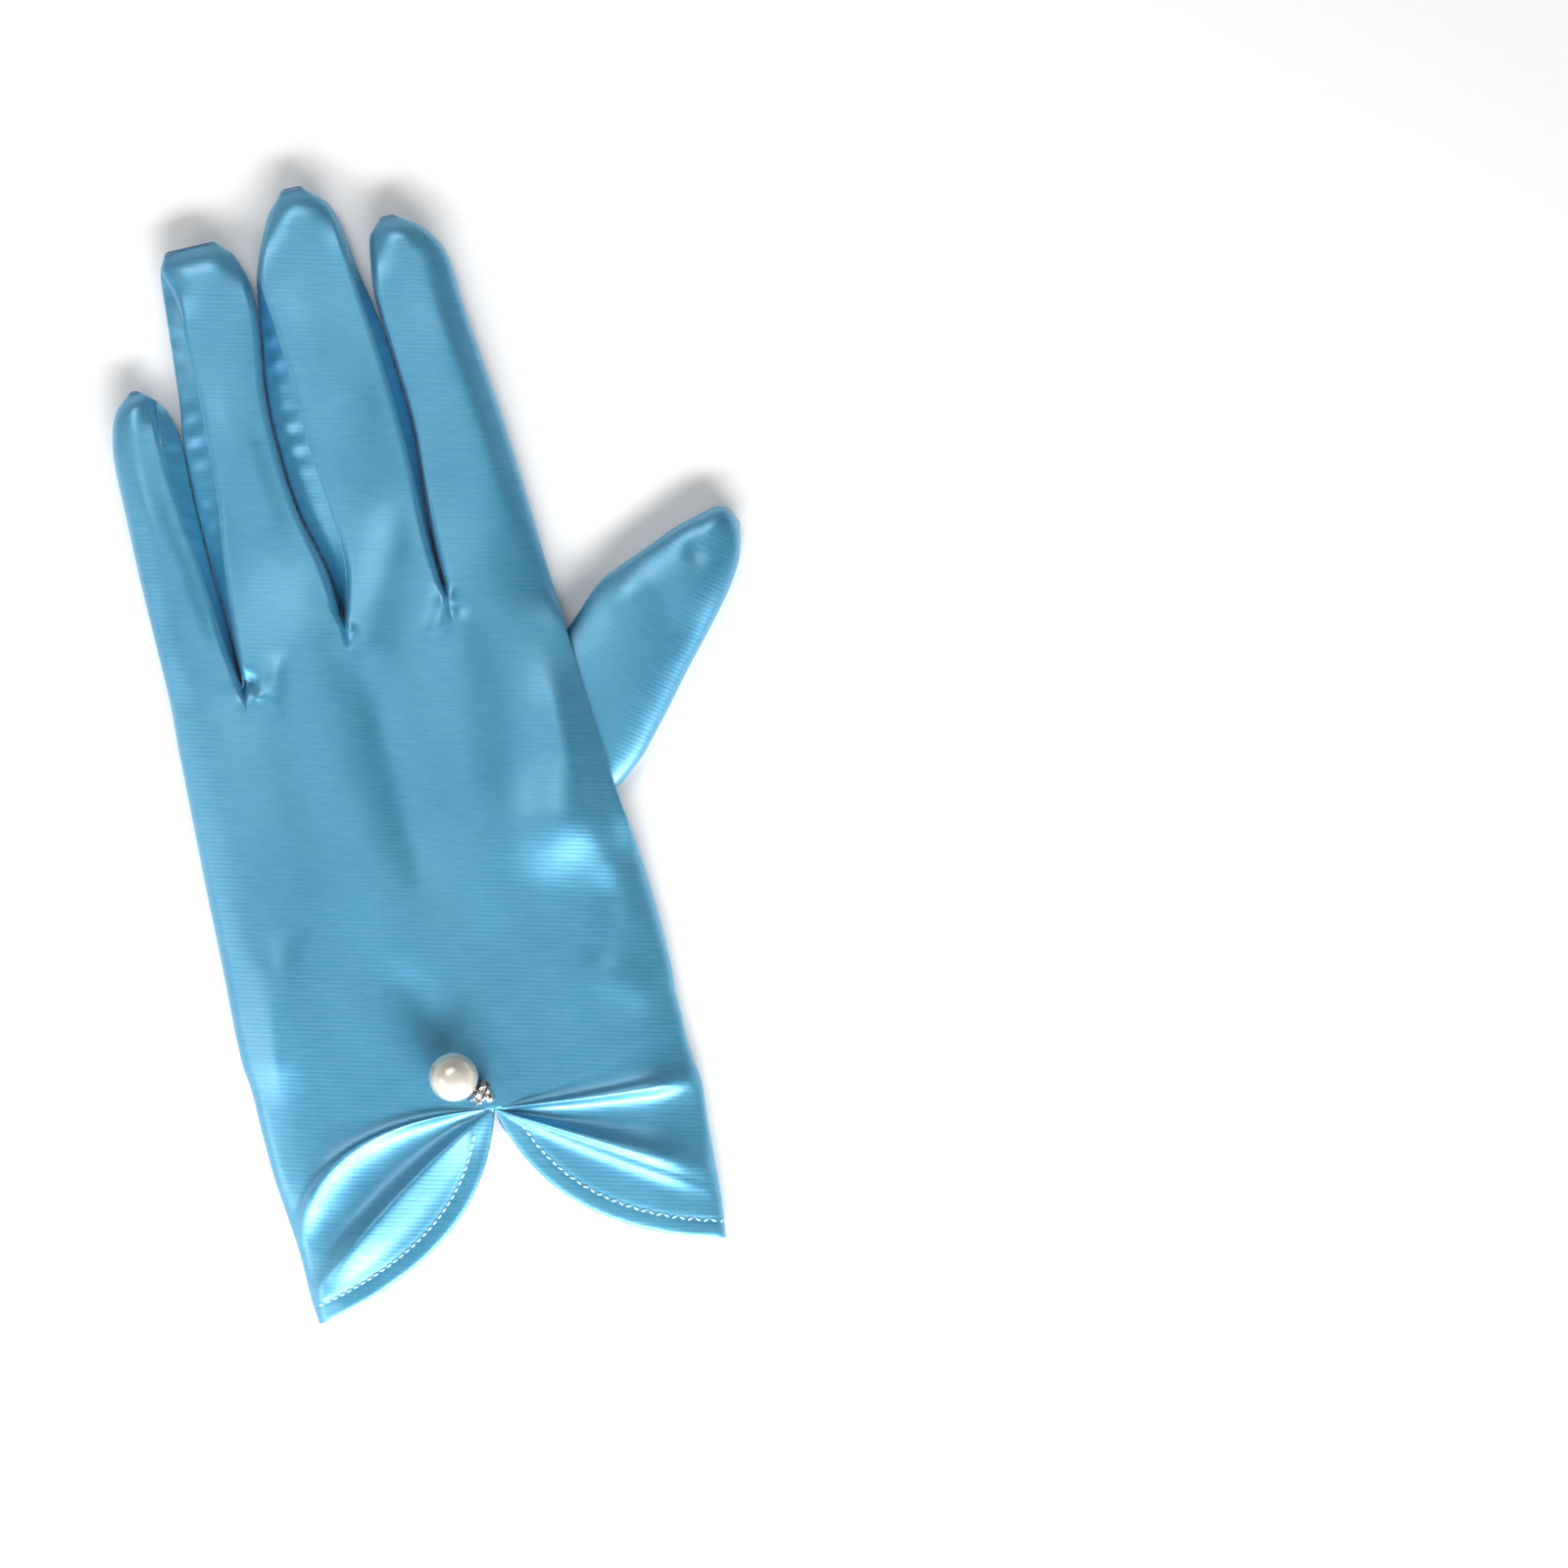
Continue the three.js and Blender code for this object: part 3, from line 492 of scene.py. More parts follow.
def back_finger_height(k, at, x, left, right):
    crown = mix(ROOT_LOFT, FINGER_LOFT, smooth(*LOFT_FALLS, at))
    on_left = finger_drop(k, "left", at, x - left, crown)
    on_right = finger_drop(k, "right", at, right - x, crown)
    return mix(SIDE_SEAM, crown - on_left - on_right, tip_round(at))


print("the parted back ends", BACK_SEAM, "mm over the table")

# %% Height of the hand
CROWNS = rows("up crown", (-0.4, 0.9), (0, 0.85), (0.3, 0.95), (0.6, 0.99), (0.9, 0.935), (1.1, 0.92))
THUMB_FOOT = 0.54 * PALM_LENGTH
THUMB_SPREAD = 55.0
THUMB_DOOR = 7.2
LIFT_RUN = 11.0
LIFT_FALL = 11.0
LIFT_SHARE = 0.69
LIFT_EARLY = 1.0
DOOR_ROOM = 0.1


def thumb_lift(y):
    start = THUMB_FOOT - LIFT_EARLY
    end = THUMB_FOOT + THUMB_SPREAD * LIFT_SHARE
    return smooth(start - LIFT_RUN, start, y) * (1 - smooth(end, end + LIFT_FALL, y))


def body_height(x, y, left, right):
    crown = LOFT * read(CROWNS, "up", "crown", y / PALM_LENGTH)
    distance = np.minimum(x - left, right - x)
    lifted = mix(SIDE_SEAM, THUMB_DOOR + DOOR_ROOM, thumb_lift(y))
    foot = np.where(x > (left + right) / 2, lifted, SIDE_SEAM)
    return mix(foot, crown, side_rise(distance))


print("the side is lifted to", THUMB_DOOR, "mm over the thumb")

# %% [markdown]
# ## Folds and puckers
# Satin keeps soft folds from its packing, and small puckers where a seam pulls. They could be sculpted or
# painted as bump. Here each fold is a crest line with a width and a rise, so the shape is real geometry,
# catches the light by itself, and is the same on each run. Lengths are in millimetres.

# %% Folds along a crest
BODY_FOLDS = [
    {"width": 8.0, "rise": 0.9, "crest": [(-17, 126), (-15.5, 80), (-14, 60), (-14.5, 26)]},
    {"width": 6.5, "rise": 0.9, "crest": [(16.5, 118), (13.4, 82), (11.5, 62), (6, 26)]},
    {"width": 7.0, "rise": 2.1, "crest": [(38, 92), (32, 66), (27, 52), (21, 40)]},
    {"width": 4.0, "rise": 0.5, "crest": [(28, 60), (36, 41), (43, 20)]},
    {"width": 4.5, "rise": 1.1, "crest": [(-44, 8), (-38, 30), (-32, 48)]},
    {"width": 3.5, "rise": 0.3, "crest": [(22, 26), (34, 17), (44, 10)]},
    {"width": 6.5, "rise": 0.7, "crest": [(-30, 96), (-28, 36)]},
    {"width": 4.0, "rise": -0.9, "crest": [(-5, 100), (-4, 68), (-3.5, 40)]},
    {"width": 4.0, "rise": -0.7, "crest": [(-14, 36), (-6, 16), (-1, 4)]},
    {"width": 3.5, "rise": -0.7, "crest": [(35, 44), (27, 20)]},
    {"width": 4.0, "rise": 0.6, "crest": [(-9, 88), (-2.5, 100), (5, 115), (10, 128)]},
    {"width": 1.9, "rise": 0.6, "crest": [(-26, 86), (-24.6, 92), (-21, 101)]},
    {"width": 1.8, "rise": 0.6, "crest": [(9, 95), (13, 101), (15, 107)]},
    {"width": 5.0, "rise": 0.5, "crest": [(-28, 158), (-20, 140), (-14, 116)]},
    {"width": 6.0, "rise": 0.5, "crest": [(-6, 176), (4, 150), (2, 122)]},
    {"width": 5.0, "rise": 0.5, "crest": [(24, 172), (26, 140), (34, 104)]},
    {"width": 4.0, "rise": 0.5, "crest": [(-44, 148), (-37, 122), (-34, 96)]},
]
FOLD_STARTS = (0, 0.3)
FOLD_ENDS = (0.7, 1)


def crest_ripple(x, y, fold):
    """A soft fold along a crest line, which fades towards both of its ends."""
    points = [np.array(point) for point in fold["crest"]]
    steps = [np.hypot(*(after - before)) for before, after in zip(points, points[1:])]
    best = np.full(np.shape(x), 1e9)
    where = np.zeros(np.shape(x))
    done = 0.0
    for start, end, step in zip(points, points[1:], steps):
        along = (end - start) / step
        share = np.clip((x - start[0]) * along[0] + (y - start[1]) * along[1], 0, step)
        distance = np.hypot(x - start[0] - share * along[0], y - start[1] - share * along[1])
        where = np.where(distance < best, (done + share) / sum(steps), where)
        best = np.minimum(best, distance)
        done += step
    fade = smooth(*FOLD_STARTS, where) * (1 - smooth(*FOLD_ENDS, where))
    return fold["rise"] * fade * bump(best, fold["width"])


def relief(x, y):
    return sum(crest_ripple(x, y, fold) for fold in BODY_FOLDS)


print(len(BODY_FOLDS), "folds, up to", max(fold["rise"] for fold in BODY_FOLDS), "mm high")

# %% Puckers beside the slits and seams
PUCKERS = rows(
    "x y radius rise",
    (-29.1, 95.8, 1.5, -2.0),
    (-27.0, 92.6, 1.1, 0.8),
    (-30.4, 92.2, 1.1, 0.5),
    (-6.4, 101.6, 1.2, 0.8),
    (-7.4, 106.8, 1.3, -0.8),
    (14.4, 103.0, 1.1, 0.7),
    (16.3, 100.6, 1.5, -0.4),
    (26.2, 175.7, 2.2, -0.5),
    (23.0, 54.0, 8.5, 1.0),
)


def puckers(x, y, table=PUCKERS):
    total = 0 * x
    for pucker in table:
        distance = np.hypot(x - pucker["x"], y - pucker["y"])
        total = total + pucker["rise"] * bump(distance, pucker["radius"])
    return total


print(len(PUCKERS), "puckers")

# %% Uneven waves
SLOW_WAVE = 0.2
QUICK_WAVE = 0.06


def wrinkles(x, y):
    """Shallow uneven waves, as in cloth that was folded and smoothed by hand."""
    slow = np.sin(0.11 * x + 0.05 * y + 1.3) * np.sin(0.045 * y - 0.07 * x + 0.4)
    quick = np.sin(0.31 * x + 0.09 * y + 2.1) * np.sin(0.12 * y + 0.17 * x)
    return SLOW_WAVE * slow + QUICK_WAVE * quick


def softness(x, y):
    return relief(x, y) + wrinkles(x, y) + puckers(x, y)


print("softness at the middle of the palm:", softness(np.zeros(1), np.full(1, REST_Y)).round(2), "mm")

# %% [markdown]
# ## Sewing patches together
# A real glove is cut from flat cloth and sewn. Here a grid of cloth is moved, point by point, to its
# place. Patches that share an edge have the same points there, so merging doubles sews them. The wall is
# given its thickness inwards by a Solidify modifier, which keeps the mesh simple to edit.

# %% A patch of cloth
CLOTH = 0.45


def patch(mesh, across, along, place, facing_down=False):
    """Adds a grid whose point at shares (u, w) of the cloth lies at place(u, w), in millimetres."""
    made = bmesh.ops.create_grid(mesh, x_segments=across, y_segments=along, size=0.5)
    verts = made["verts"]
    u = np.clip(np.array([v.co.x for v in verts]) + 0.5, 0, 1)
    w = np.clip(np.array([v.co.y for v in verts]) + 0.5, 0, 1)
    x, y, z = place(u, w)
    for v, px, py, pz in zip(verts, x, y, z):
        v.co = ((px - HAND_MIDDLE) * MM, (py - REST_Y) * MM, pz * MM)
    if facing_down:
        faces = {face for v in verts for face in v.link_faces}
        bmesh.ops.reverse_faces(mesh, faces=list(faces))


def columns_of(u, first, last):
    return np.rint(first + u * (last - first)).astype(int)


print("cloth", CLOTH, "mm thick")


# %% A finished piece of cloth
def laid_out(data, places, flat_uv):
    """Gives the mesh its map for the weave."""
    uv = data.uv_layers.new(name="cloth")
    corners = np.empty(len(data.loops), int)
    data.loops.foreach_get("vertex_index", corners)
    flat = places[:, :2] if flat_uv else thumb_uv(places)
    uv.data.foreach_set("uv", flat[corners].ravel())


def finish_cloth(name, mesh, node, flat_uv=True):
    """Sews the patches, makes the object, and stands it in for its CAD node."""
    bmesh.ops.remove_doubles(mesh, verts=mesh.verts, dist=2e-6)
    bmesh.ops.dissolve_degenerate(mesh, edges=mesh.edges, dist=1e-7)
    data = bpy.data.meshes.new(name)
    mesh.to_mesh(data)
    mesh.free()
    for polygon in data.polygons:
        polygon.use_smooth = True
    piece = bpy.data.objects.new(name, data)
    bpy.context.collection.objects.link(piece)
    # The inner shell takes the inside satin, whose darker colour is painted shade.
    for material in (SATIN, SHADED_INSIDE):
        data.materials.append(material)
    places = np.empty(len(data.vertices) * 3)
    data.vertices.foreach_get("co", places)
    laid_out(data, places.reshape(-1, 3), flat_uv)
    wall = piece.modifiers.new("wall", "SOLIDIFY")
    wall.thickness = CLOTH * MM
    wall.offset = -1
    wall.material_offset = 1
    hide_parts(node)
    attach(piece, "root")
    area = sum(polygon.area for polygon in data.polygons)
    print(name, len(data.polygons), "faces,", round(area * 1e4, 1), "cm2")
    return piece, area


# %% [markdown]
# ## Satin
# Satin is woven with long floats, which is why it shines. Its colour is deep where it looks at its own
# folds and pale where it mirrors the lights. A photo of cloth could be tiled over it, but node textures
# need no image and show no seams. One node group makes the weave and the slow changes of shade, so that
# every piece of cloth shares them.


# %% Node helpers
def new_material(name):
    material = bpy.data.materials.new(name)
    material.use_nodes = True
    tree = material.node_tree
    return material, tree, tree.nodes["Principled BSDF"]


def link(tree, a, b):
    tree.links.new(a, b)


def fill(node, inputs):
    """Types values into a node's inputs."""
    for name, value in inputs.items():
        node.inputs[name].default_value = value


def add(tree, kind, inputs=None):
    """A new node, with its inputs filled in."""
    node = tree.nodes.new(kind)
    fill(node, inputs or {})
    return node


# %% The weave group's sockets
weave = bpy.data.node_groups.new("satin_weave", "ShaderNodeTree")
weave.interface.new_socket("Place", in_out="INPUT", socket_type="NodeSocketVector")
weave.interface.new_socket("Colour", in_out="INPUT", socket_type="NodeSocketColor")
weave.interface.new_socket("Deep colour", in_out="INPUT", socket_type="NodeSocketColor")
weave.interface.new_socket("Colour", in_out="OUTPUT", socket_type="NodeSocketColor")
for output in ("Height", "Roughness", "Lustre"):
    weave.interface.new_socket(output, in_out="OUTPUT", socket_type="NodeSocketFloat")
weave_in = add(weave, "NodeGroupInput")
weave_out = add(weave, "NodeGroupOutput")
print("weave puts out", [socket.name for socket in weave_out.inputs if socket.name])

# %% Ribs and floats
WEAVE_TURN = 15
RIB_SCALE = 360
FLOAT_SCALE = 900
FLOAT_STRETCH = (0.25, 1.6, 1)
FLOAT_SHARE = 0.45
turn = add(weave, "ShaderNodeMapping", {"Rotation": (0, 0, math.radians(WEAVE_TURN))})
link(weave, weave_in.outputs["Place"], turn.inputs["Vector"])
rib_inputs = {"Scale": RIB_SCALE, "Distortion": 1.2, "Detail": 2, "Detail Scale": 0.6}
ribs = add(weave, "ShaderNodeTexWave", rib_inputs)
ribs.wave_type = "BANDS"
ribs.bands_direction = "Y"
link(weave, turn.outputs["Vector"], ribs.inputs["Vector"])
stretch = add(weave, "ShaderNodeMapping", {"Scale": FLOAT_STRETCH})
floats = add(weave, "ShaderNodeTexNoise", {"Scale": FLOAT_SCALE, "Detail": 3})
link(weave, turn.outputs["Vector"], stretch.inputs["Vector"])
link(weave, stretch.outputs["Vector"], floats.inputs["Vector"])
height = add(weave, "ShaderNodeMix")
height.data_type = "FLOAT"
fill(height, {"Factor": FLOAT_SHARE})
link(weave, ribs.outputs["Fac"], height.inputs["A"])
link(weave, floats.outputs["Fac"], height.inputs["B"])
link(weave, height.outputs["Result"], weave_out.inputs["Height"])
print("ribs", RIB_SCALE, "and floats", FLOAT_SCALE, "to the metre")

# %% Slow changes of shade
CLOUD_SCALE = 28
clouds = add(weave, "ShaderNodeTexNoise", {"Scale": CLOUD_SCALE, "Detail": 3})
link(weave, weave_in.outputs["Place"], clouds.inputs["Vector"])
shade = add(weave, "ShaderNodeMapRange", {"From Min": 0.35, "From Max": 0.65, "To Min": 0, "To Max": 1})
link(weave, clouds.outputs["Fac"], shade.inputs["Value"])
tone = add(weave, "ShaderNodeMix")
tone.data_type = "RGBA"
link(weave, shade.outputs["Result"], tone.inputs["Factor"])
link(weave, weave_in.outputs["Deep colour"], tone.inputs["A"])
link(weave, weave_in.outputs["Colour"], tone.inputs["B"])
link(weave, tone.outputs["Result"], weave_out.inputs["Colour"])
print("shade changes over", round(1000 / CLOUD_SCALE), "mm")

# %% Gloss and lustre of the floats
GLOSS = (0.4, 0.56)
LUSTRE = (0.4, 0.95)
gloss = add(weave, "ShaderNodeMapRange", {"To Min": GLOSS[0], "To Max": GLOSS[1]})
link(weave, floats.outputs["Fac"], gloss.inputs["Value"])
link(weave, gloss.outputs["Result"], weave_out.inputs["Roughness"])
lustre_inputs = {"From Min": 0.2, "From Max": 0.8, "To Min": LUSTRE[0], "To Max": LUSTRE[1]}
lustre = add(weave, "ShaderNodeMapRange", lustre_inputs)
link(weave, floats.outputs["Fac"], lustre.inputs["Value"])
link(weave, lustre.outputs["Result"], weave_out.inputs["Lustre"])
print("the weave group has", len(weave.nodes), "nodes")

# %% [markdown]
# ## The satin and its inside
# The right side of satin is smooth and mirrors softly in two ways: the floats give a coloured sheen, and
# over it lies a pale gleam. A partly metallic base makes the first, and a rough coat the second. The
# wrong side is duller, and its colour is a darker copy of the satin: painted shade, so the cuff looks
# deep where it opens.


# %% Two satins
def make_satin(name, colour, deep, metal, sheen, bump_height):
    material, tree, shader = new_material(name)
    place = add(tree, "ShaderNodeUVMap")
    place.uv_map = "cloth"
    group = add(tree, "ShaderNodeGroup")
    group.node_tree = weave
    fill(group, {"Colour": colour, "Deep colour": deep})
    rise = add(tree, "ShaderNodeBump", {"Distance": bump_height * MM, "Strength": 0.6})
    link(tree, place.outputs["UV"], group.inputs["Place"])
    link(tree, group.outputs["Colour"], shader.inputs["Base Color"])
    link(tree, group.outputs["Roughness"], shader.inputs["Roughness"])
    link(tree, group.outputs["Lustre"], shader.inputs["Coat Weight"])
    link(tree, group.outputs["Height"], rise.inputs["Height"])
    link(tree, rise.outputs["Normal"], shader.inputs["Normal"])
    fill(shader, {"Metallic": metal, "Specular IOR Level": 0.6})
    fill(shader, {"Sheen Weight": sheen, "Sheen Roughness": 0.4})
    fill(shader, {"Coat Roughness": 0.42, "Coat IOR": 2.3})
    return material


SATIN = make_satin("satin", (0.055, 0.37, 0.585, 1), (0.03, 0.31, 0.53, 1), 0.7, 0.05, 0.045)
# The inside's weaker metallic gleam is the real duller wrong side; its darker colour is painted shade, so
# the cuff's opening looks deep.
SHADED_INSIDE = make_satin("satin_inside_painted_shade", (0.02, 0.2, 0.36, 1), (0.015, 0.17, 0.32, 1), 0.2, 0.2, 0.05)
print("materials", SATIN.name, "and", SHADED_INSIDE.name)

# %% [markdown]
# ## The hem
# The hem of each wing is turned under, so the cloth is rolled at the edge and has a shallow groove where
# it is sewn. The line of each hem is kept as points, and the distance of the cloth from them tells where
# the roll and the groove lie.

# %% The hem lines
HEM_POINTS = 240
HEM_WIDTH = 3.6
hem_out = np.linspace(0, 1, HEM_POINTS)
hem_one = np.ones(HEM_POINTS)
little_hem = cuff_curve(hem_one > 0, hem_one, hem_out)
thumb_hem = cuff_curve(hem_one < 0, hem_one, hem_out)


def hem_distance(x, y):
    """Distance of each point from the nearer hem."""
    best = np.full(x.shape, 1e9)
    for hem_x, hem_y, _ in (little_hem, thumb_hem):
        gap = np.hypot(x[:, None] - hem_x[None, :], y[:, None] - hem_y[None, :])
        best = np.minimum(best, gap.min(axis=1))
    return best


print("hem sewn", HEM_WIDTH, "mm from the edge")

# %% [markdown]
# ## The wings' ridges and valleys
# Down each wing the gather throws the cloth up in ridges with valleys between. A profile across the fan
# gives their height in millimetres: share 0 is the wrist and 1 the hem. The curves of the fan carry each
# ridge from the gather to the side, so a few numbers shape the whole wing.

# %% Profiles of the wings
LITTLE_PROFILE = rows(
    "share rise",
    (0, 0),
    (0.12, 0),
    (0.25, 0.35),
    (0.35, 1.2),
    (0.4, 1.9),
    (0.43, 1.75),
    (0.48, 0.35),
    (0.52, -0.35),
    (0.57, -0.4),
    (0.63, 0.8),
    (0.67, 1.9),
    (0.7, 1.95),
    (0.76, 1.2),
    (0.84, 0),
    (0.9, -0.5),
    (1, -0.8),
)
THUMB_PROFILE = rows(
    "share rise",
    (0, 0),
    (0.12, 0),
    (0.21, 0.5),
    (0.26, 1.6),
    (0.285, 1.4),
    (0.33, 0.1),
    (0.4, -0.5),
    (0.5, -0.4),
    (0.58, 0.6),
    (0.63, 1.7),
    (0.66, 1.6),
    (0.7, 0.85),
    (0.72, 0.8),
    (0.77, -0.05),
    (0.84, -0.4),
    (1, -0.9),
)
print("ridges up to", max(row["rise"] for row in LITTLE_PROFILE + THUMB_PROFILE), "mm high")

# %% [markdown]
# ## The back
# One cloth holds the back of the hand, the backs of the fingers and both wings of the cuff. It is made of
# seven patches: the hand, two wings and four fingers. Soft folds fade towards the seams, where the cloth
# is held down.

# %% The back of the hand
SOFT_EDGE = 8.0
ROOT_BLEND = (0.94, 1)


def root_height(height, column):
    """Height of the cloth at the roots, taken from the fingers' own height."""
    root = 0 * column["x"]
    for k in range(len(FINGERS)):
        on = column["k"] == k
        edges = (slit_point(k)[0], slit_point(k + 1)[0])
        root[on] = height(k, np.zeros(on.sum()), column["x"][on], *edges)
    return root


def back_body(u, w):
    column = column_facts(columns_of(u, 0, LAST_COLUMN))
    x, y = body_place(column, w)
    left, right = side_lines(w)
    z = body_height(x, y, left, right)
    z = mix(z, root_height(back_finger_height, column), smooth(*ROOT_BLEND, w))
    return x, y, z + softness(x, y) * smooth(0, SOFT_EDGE, np.minimum(x - left, right - x))


hand_middle = back_body(np.full(1, 0.5), np.full(1, 0.6))
print("the back lies", hand_middle[2].round(1), "mm high in the middle")

# %% The wings of the cuff
HEM_ROWS = 1.3
GROOVE = 0.16
GROOVE_WIDTH = 0.55
ROLL = 0.5
ROLL_WIDTH = 1.2
SIDE_RIDGE = 0.25
SIDE_RUN = 3.0
RIDGE_ROOT = (0, 0.2)
RIDGE_END = (0, 0.3)
RIDGE_RATE = 1.2
RIDGE_START = 0.7
RIDGE_GROWTH = 0.6
GROOVE_FROM = (0.3, 0.6)
ROLL_FROM = (0, 0.3)


def cuff_rows(w):
    """Rows lie closer together towards the hem, which is rolled and stitched."""
    return 1 - (1 - w) ** HEM_ROWS


def wing_reach(u, little):
    """How far each point of a wing is from the gather: 0 there and 1 at the side."""
    j = columns_of(u, 0, GATHER) if little else columns_of(u, GATHER, LAST_COLUMN)
    return np.where(j == GATHER, 0, np.abs(column_facts(j)["out"]))


def make_back_cuff(little):
    def place(u, w):
        # The grid is laid with its wrist at w = 1, so that it faces up.
        share = cuff_rows(1 - w)
        on_little = np.full(len(u), little)
        out = wing_reach(u, little)
        x, y, end_x = cuff_curve(on_little, share, out)
        other = cuff_curve(~on_little, share, 0 * share + 1)[2]
        left = np.minimum(end_x, other)
        right = np.maximum(end_x, other)
        z = body_height(x, y, left, right)
        profile = LITTLE_PROFILE if little else THUMB_PROFILE
        rooted = smooth(*RIDGE_ROOT, out)
        spread = smooth(*RIDGE_END, RIDGE_RATE * (1 - out)) * rooted
        inwards = np.minimum(x - left, right - x)
        side = smooth(0, 1, inwards / SIDE_RUN)
        spread = np.maximum(spread, SIDE_RIDGE * side * rooted)
        rise = read(profile, "share", "rise", share) * spread
        rise = rise * (RIDGE_START + RIDGE_GROWTH * out)
        z = z + rise + softness(x, y) * smooth(0, SOFT_EDGE, inwards)
        distance = hem_distance(x, y)
        groove = GROOVE * bump(distance - HEM_WIDTH, GROOVE_WIDTH) * smooth(*GROOVE_FROM, share)
        roll = ROLL * (1 - quarter(distance, ROLL_WIDTH)) * smooth(*ROLL_FROM, share)
        return x, y, z - groove - roll

    return place


print("hem groove", GROOVE, "mm and roll", ROLL, "mm deep")

# %% The backs of the fingers
FINGER_SOFT_EDGE = 5.0
SOFT_CHANGES = (0, 0.15)
ROW_SWAY = 0.05


def finger_grid(u, w):
    """Columns and rows of a finger, which lie closer together at its sides and ends."""
    return spaced(np.rint(u * PER_FINGER) / PER_FINGER), w - ROW_SWAY * np.sin(2 * math.pi * w)


def make_back_finger(k):
    def place(u, w):
        share, at = finger_grid(u, w)
        x, y, left, right = finger_point(k, "back", at, share)
        z = back_finger_height(k, at, x, left, right)
        distance = np.minimum(x - left, right - x)
        inner = np.where(x - left < right - x, has_fourchette(k, "left"), has_fourchette(k, "right"))
        root = np.where(inner, 1, smooth(0, SOFT_EDGE, distance))
        inside = mix(root, smooth(0, FINGER_SOFT_EDGE, distance), smooth(*SOFT_CHANGES, at))
        return x, y, z + softness(x, y) * inside * tip_round(at)

    return place


print("folds fade", FINGER_SOFT_EDGE, "mm from a finger's seams")

# %% Sew the back
BODY_ROWS = 110
WING_ROWS = 64
FINGER_ROWS = 76
back_mesh = bmesh.new()
patch(back_mesh, LAST_COLUMN, BODY_ROWS, back_body)
patch(back_mesh, GATHER, WING_ROWS, make_back_cuff(True))
patch(back_mesh, LAST_COLUMN - GATHER, WING_ROWS, make_back_cuff(False))
for k in range(len(FINGERS)):
    patch(back_mesh, PER_FINGER, FINGER_ROWS, make_back_finger(k))
glove_back, back_area = finish_cloth("glove_back", back_mesh, "back_panel")

# %% [markdown]
# ## The palm
# The palm lies flat on the table, curls up at its edges to meet the back, and is cut out where the thumb
# is set in. It is one cloth with the fronts of the fingers, and uses the same outlines as the back, so
# the two meet at every seam.

# %% Height of the palm
PALM_CURL = 4.0
PALM_SEAM = 3.4
PALM_TIP = (0.87, 1)


def palm_height(distance):
    return SIDE_SEAM * (1 - quarter(distance, PALM_CURL))


def palm_finger_height(k, at, x, left, right):
    at_left = x < (left + right) / 2
    opening = np.where(at_left, has_fourchette(k, "left"), has_fourchette(k, "right")) * parted(at)
    foot = mix(SIDE_SEAM, PALM_SEAM, opening)
    curled = foot * (1 - quarter(np.minimum(x - left, right - x), PALM_CURL))
    return mix(curled, SIDE_SEAM, smooth(*PALM_TIP, at) ** 2)


print("palm and back meet", SIDE_SEAM, "mm over the table")

# %% The palm of the hand
THUMB_TUCK = 8.4
DOOR_SLOPE = 3.4
DOOR_EASE = 0.6
DOOR_SHARE = 0.72
PALM_BLEND = (0.9, 1)


def palm_body(u, w):
    column = column_facts(columns_of(u, 0, LAST_COLUMN))
    x, y = body_place(column, w)
    last = column_facts(np.full(len(u), LAST_COLUMN))
    side_y = body_place(last, w)[1]
    low = THUMB_FOOT - DOOR_EASE
    high = THUMB_FOOT + THUMB_SPREAD * DOOR_SHARE
    opening = smooth(low, low + DOOR_SLOPE, side_y) * (1 - smooth(high - DOOR_SLOPE, high, side_y))
    opening = np.where(column["little"], 0, opening)
    left, right = side_lines(w)
    z = palm_height(np.minimum(x - left, right - x)) * (1 - opening)
    z = mix(z, root_height(palm_finger_height, column), smooth(*PALM_BLEND, w))
    return x - opening * THUMB_TUCK * column["out"], y, z


print("the thumb's opening is", round(DOOR_SHARE * THUMB_SPREAD + DOOR_EASE, 1), "mm long")

# %% The palm's cuff and fingers
PALM_SHARE = 0.985
PALM_ROWS = 70
PALM_WING_ROWS = 16


def make_palm_cuff(little):
    def place(u, w):
        on_little = np.full(len(u), little)
        x, y, end_x = cuff_curve(on_little, (1 - w) * PALM_SHARE, wing_reach(u, little))
        return x, y, palm_height(np.abs(end_x - x))

    return place


def make_palm_finger(k):
    def place(u, w):
        share, at = finger_grid(u, w)
        x, y, left, right = finger_point(k, "palm", at, share)
        return x, y, palm_finger_height(k, at, x, left, right)

    return place


palm_mesh = bmesh.new()
patch(palm_mesh, LAST_COLUMN, PALM_ROWS, palm_body, facing_down=True)
patch(palm_mesh, GATHER, PALM_WING_ROWS, make_palm_cuff(True), facing_down=True)
patch(palm_mesh, LAST_COLUMN - GATHER, PALM_WING_ROWS, make_palm_cuff(False), facing_down=True)
for k in range(len(FINGERS)):
    patch(palm_mesh, PER_FINGER, FINGER_ROWS, make_palm_finger(k), facing_down=True)
glove_palm, palm_area = finish_cloth("glove_palm", palm_mesh, "palm_panel")

# %% [markdown]
# ## Fourchettes
# A fourchette is one narrow strip: up the side of one finger, round the slit and up the next. It keeps
# the finger from being a flat envelope, and shows from above where the back is narrower than the palm. It
# is hung between the two seams with a little slack, and small dimples where its seams pull.

# %% Points of a fourchette
STRIP_END = 0.955
SLACK = 0.25
SLACK_FROM = (0, 0.06)
DIMPLES = 0.25
DIMPLES_FROM = (0.2, 0.5)
DIMPLE_RATE = 1.25
DIMPLE_GROUPS = 0.16


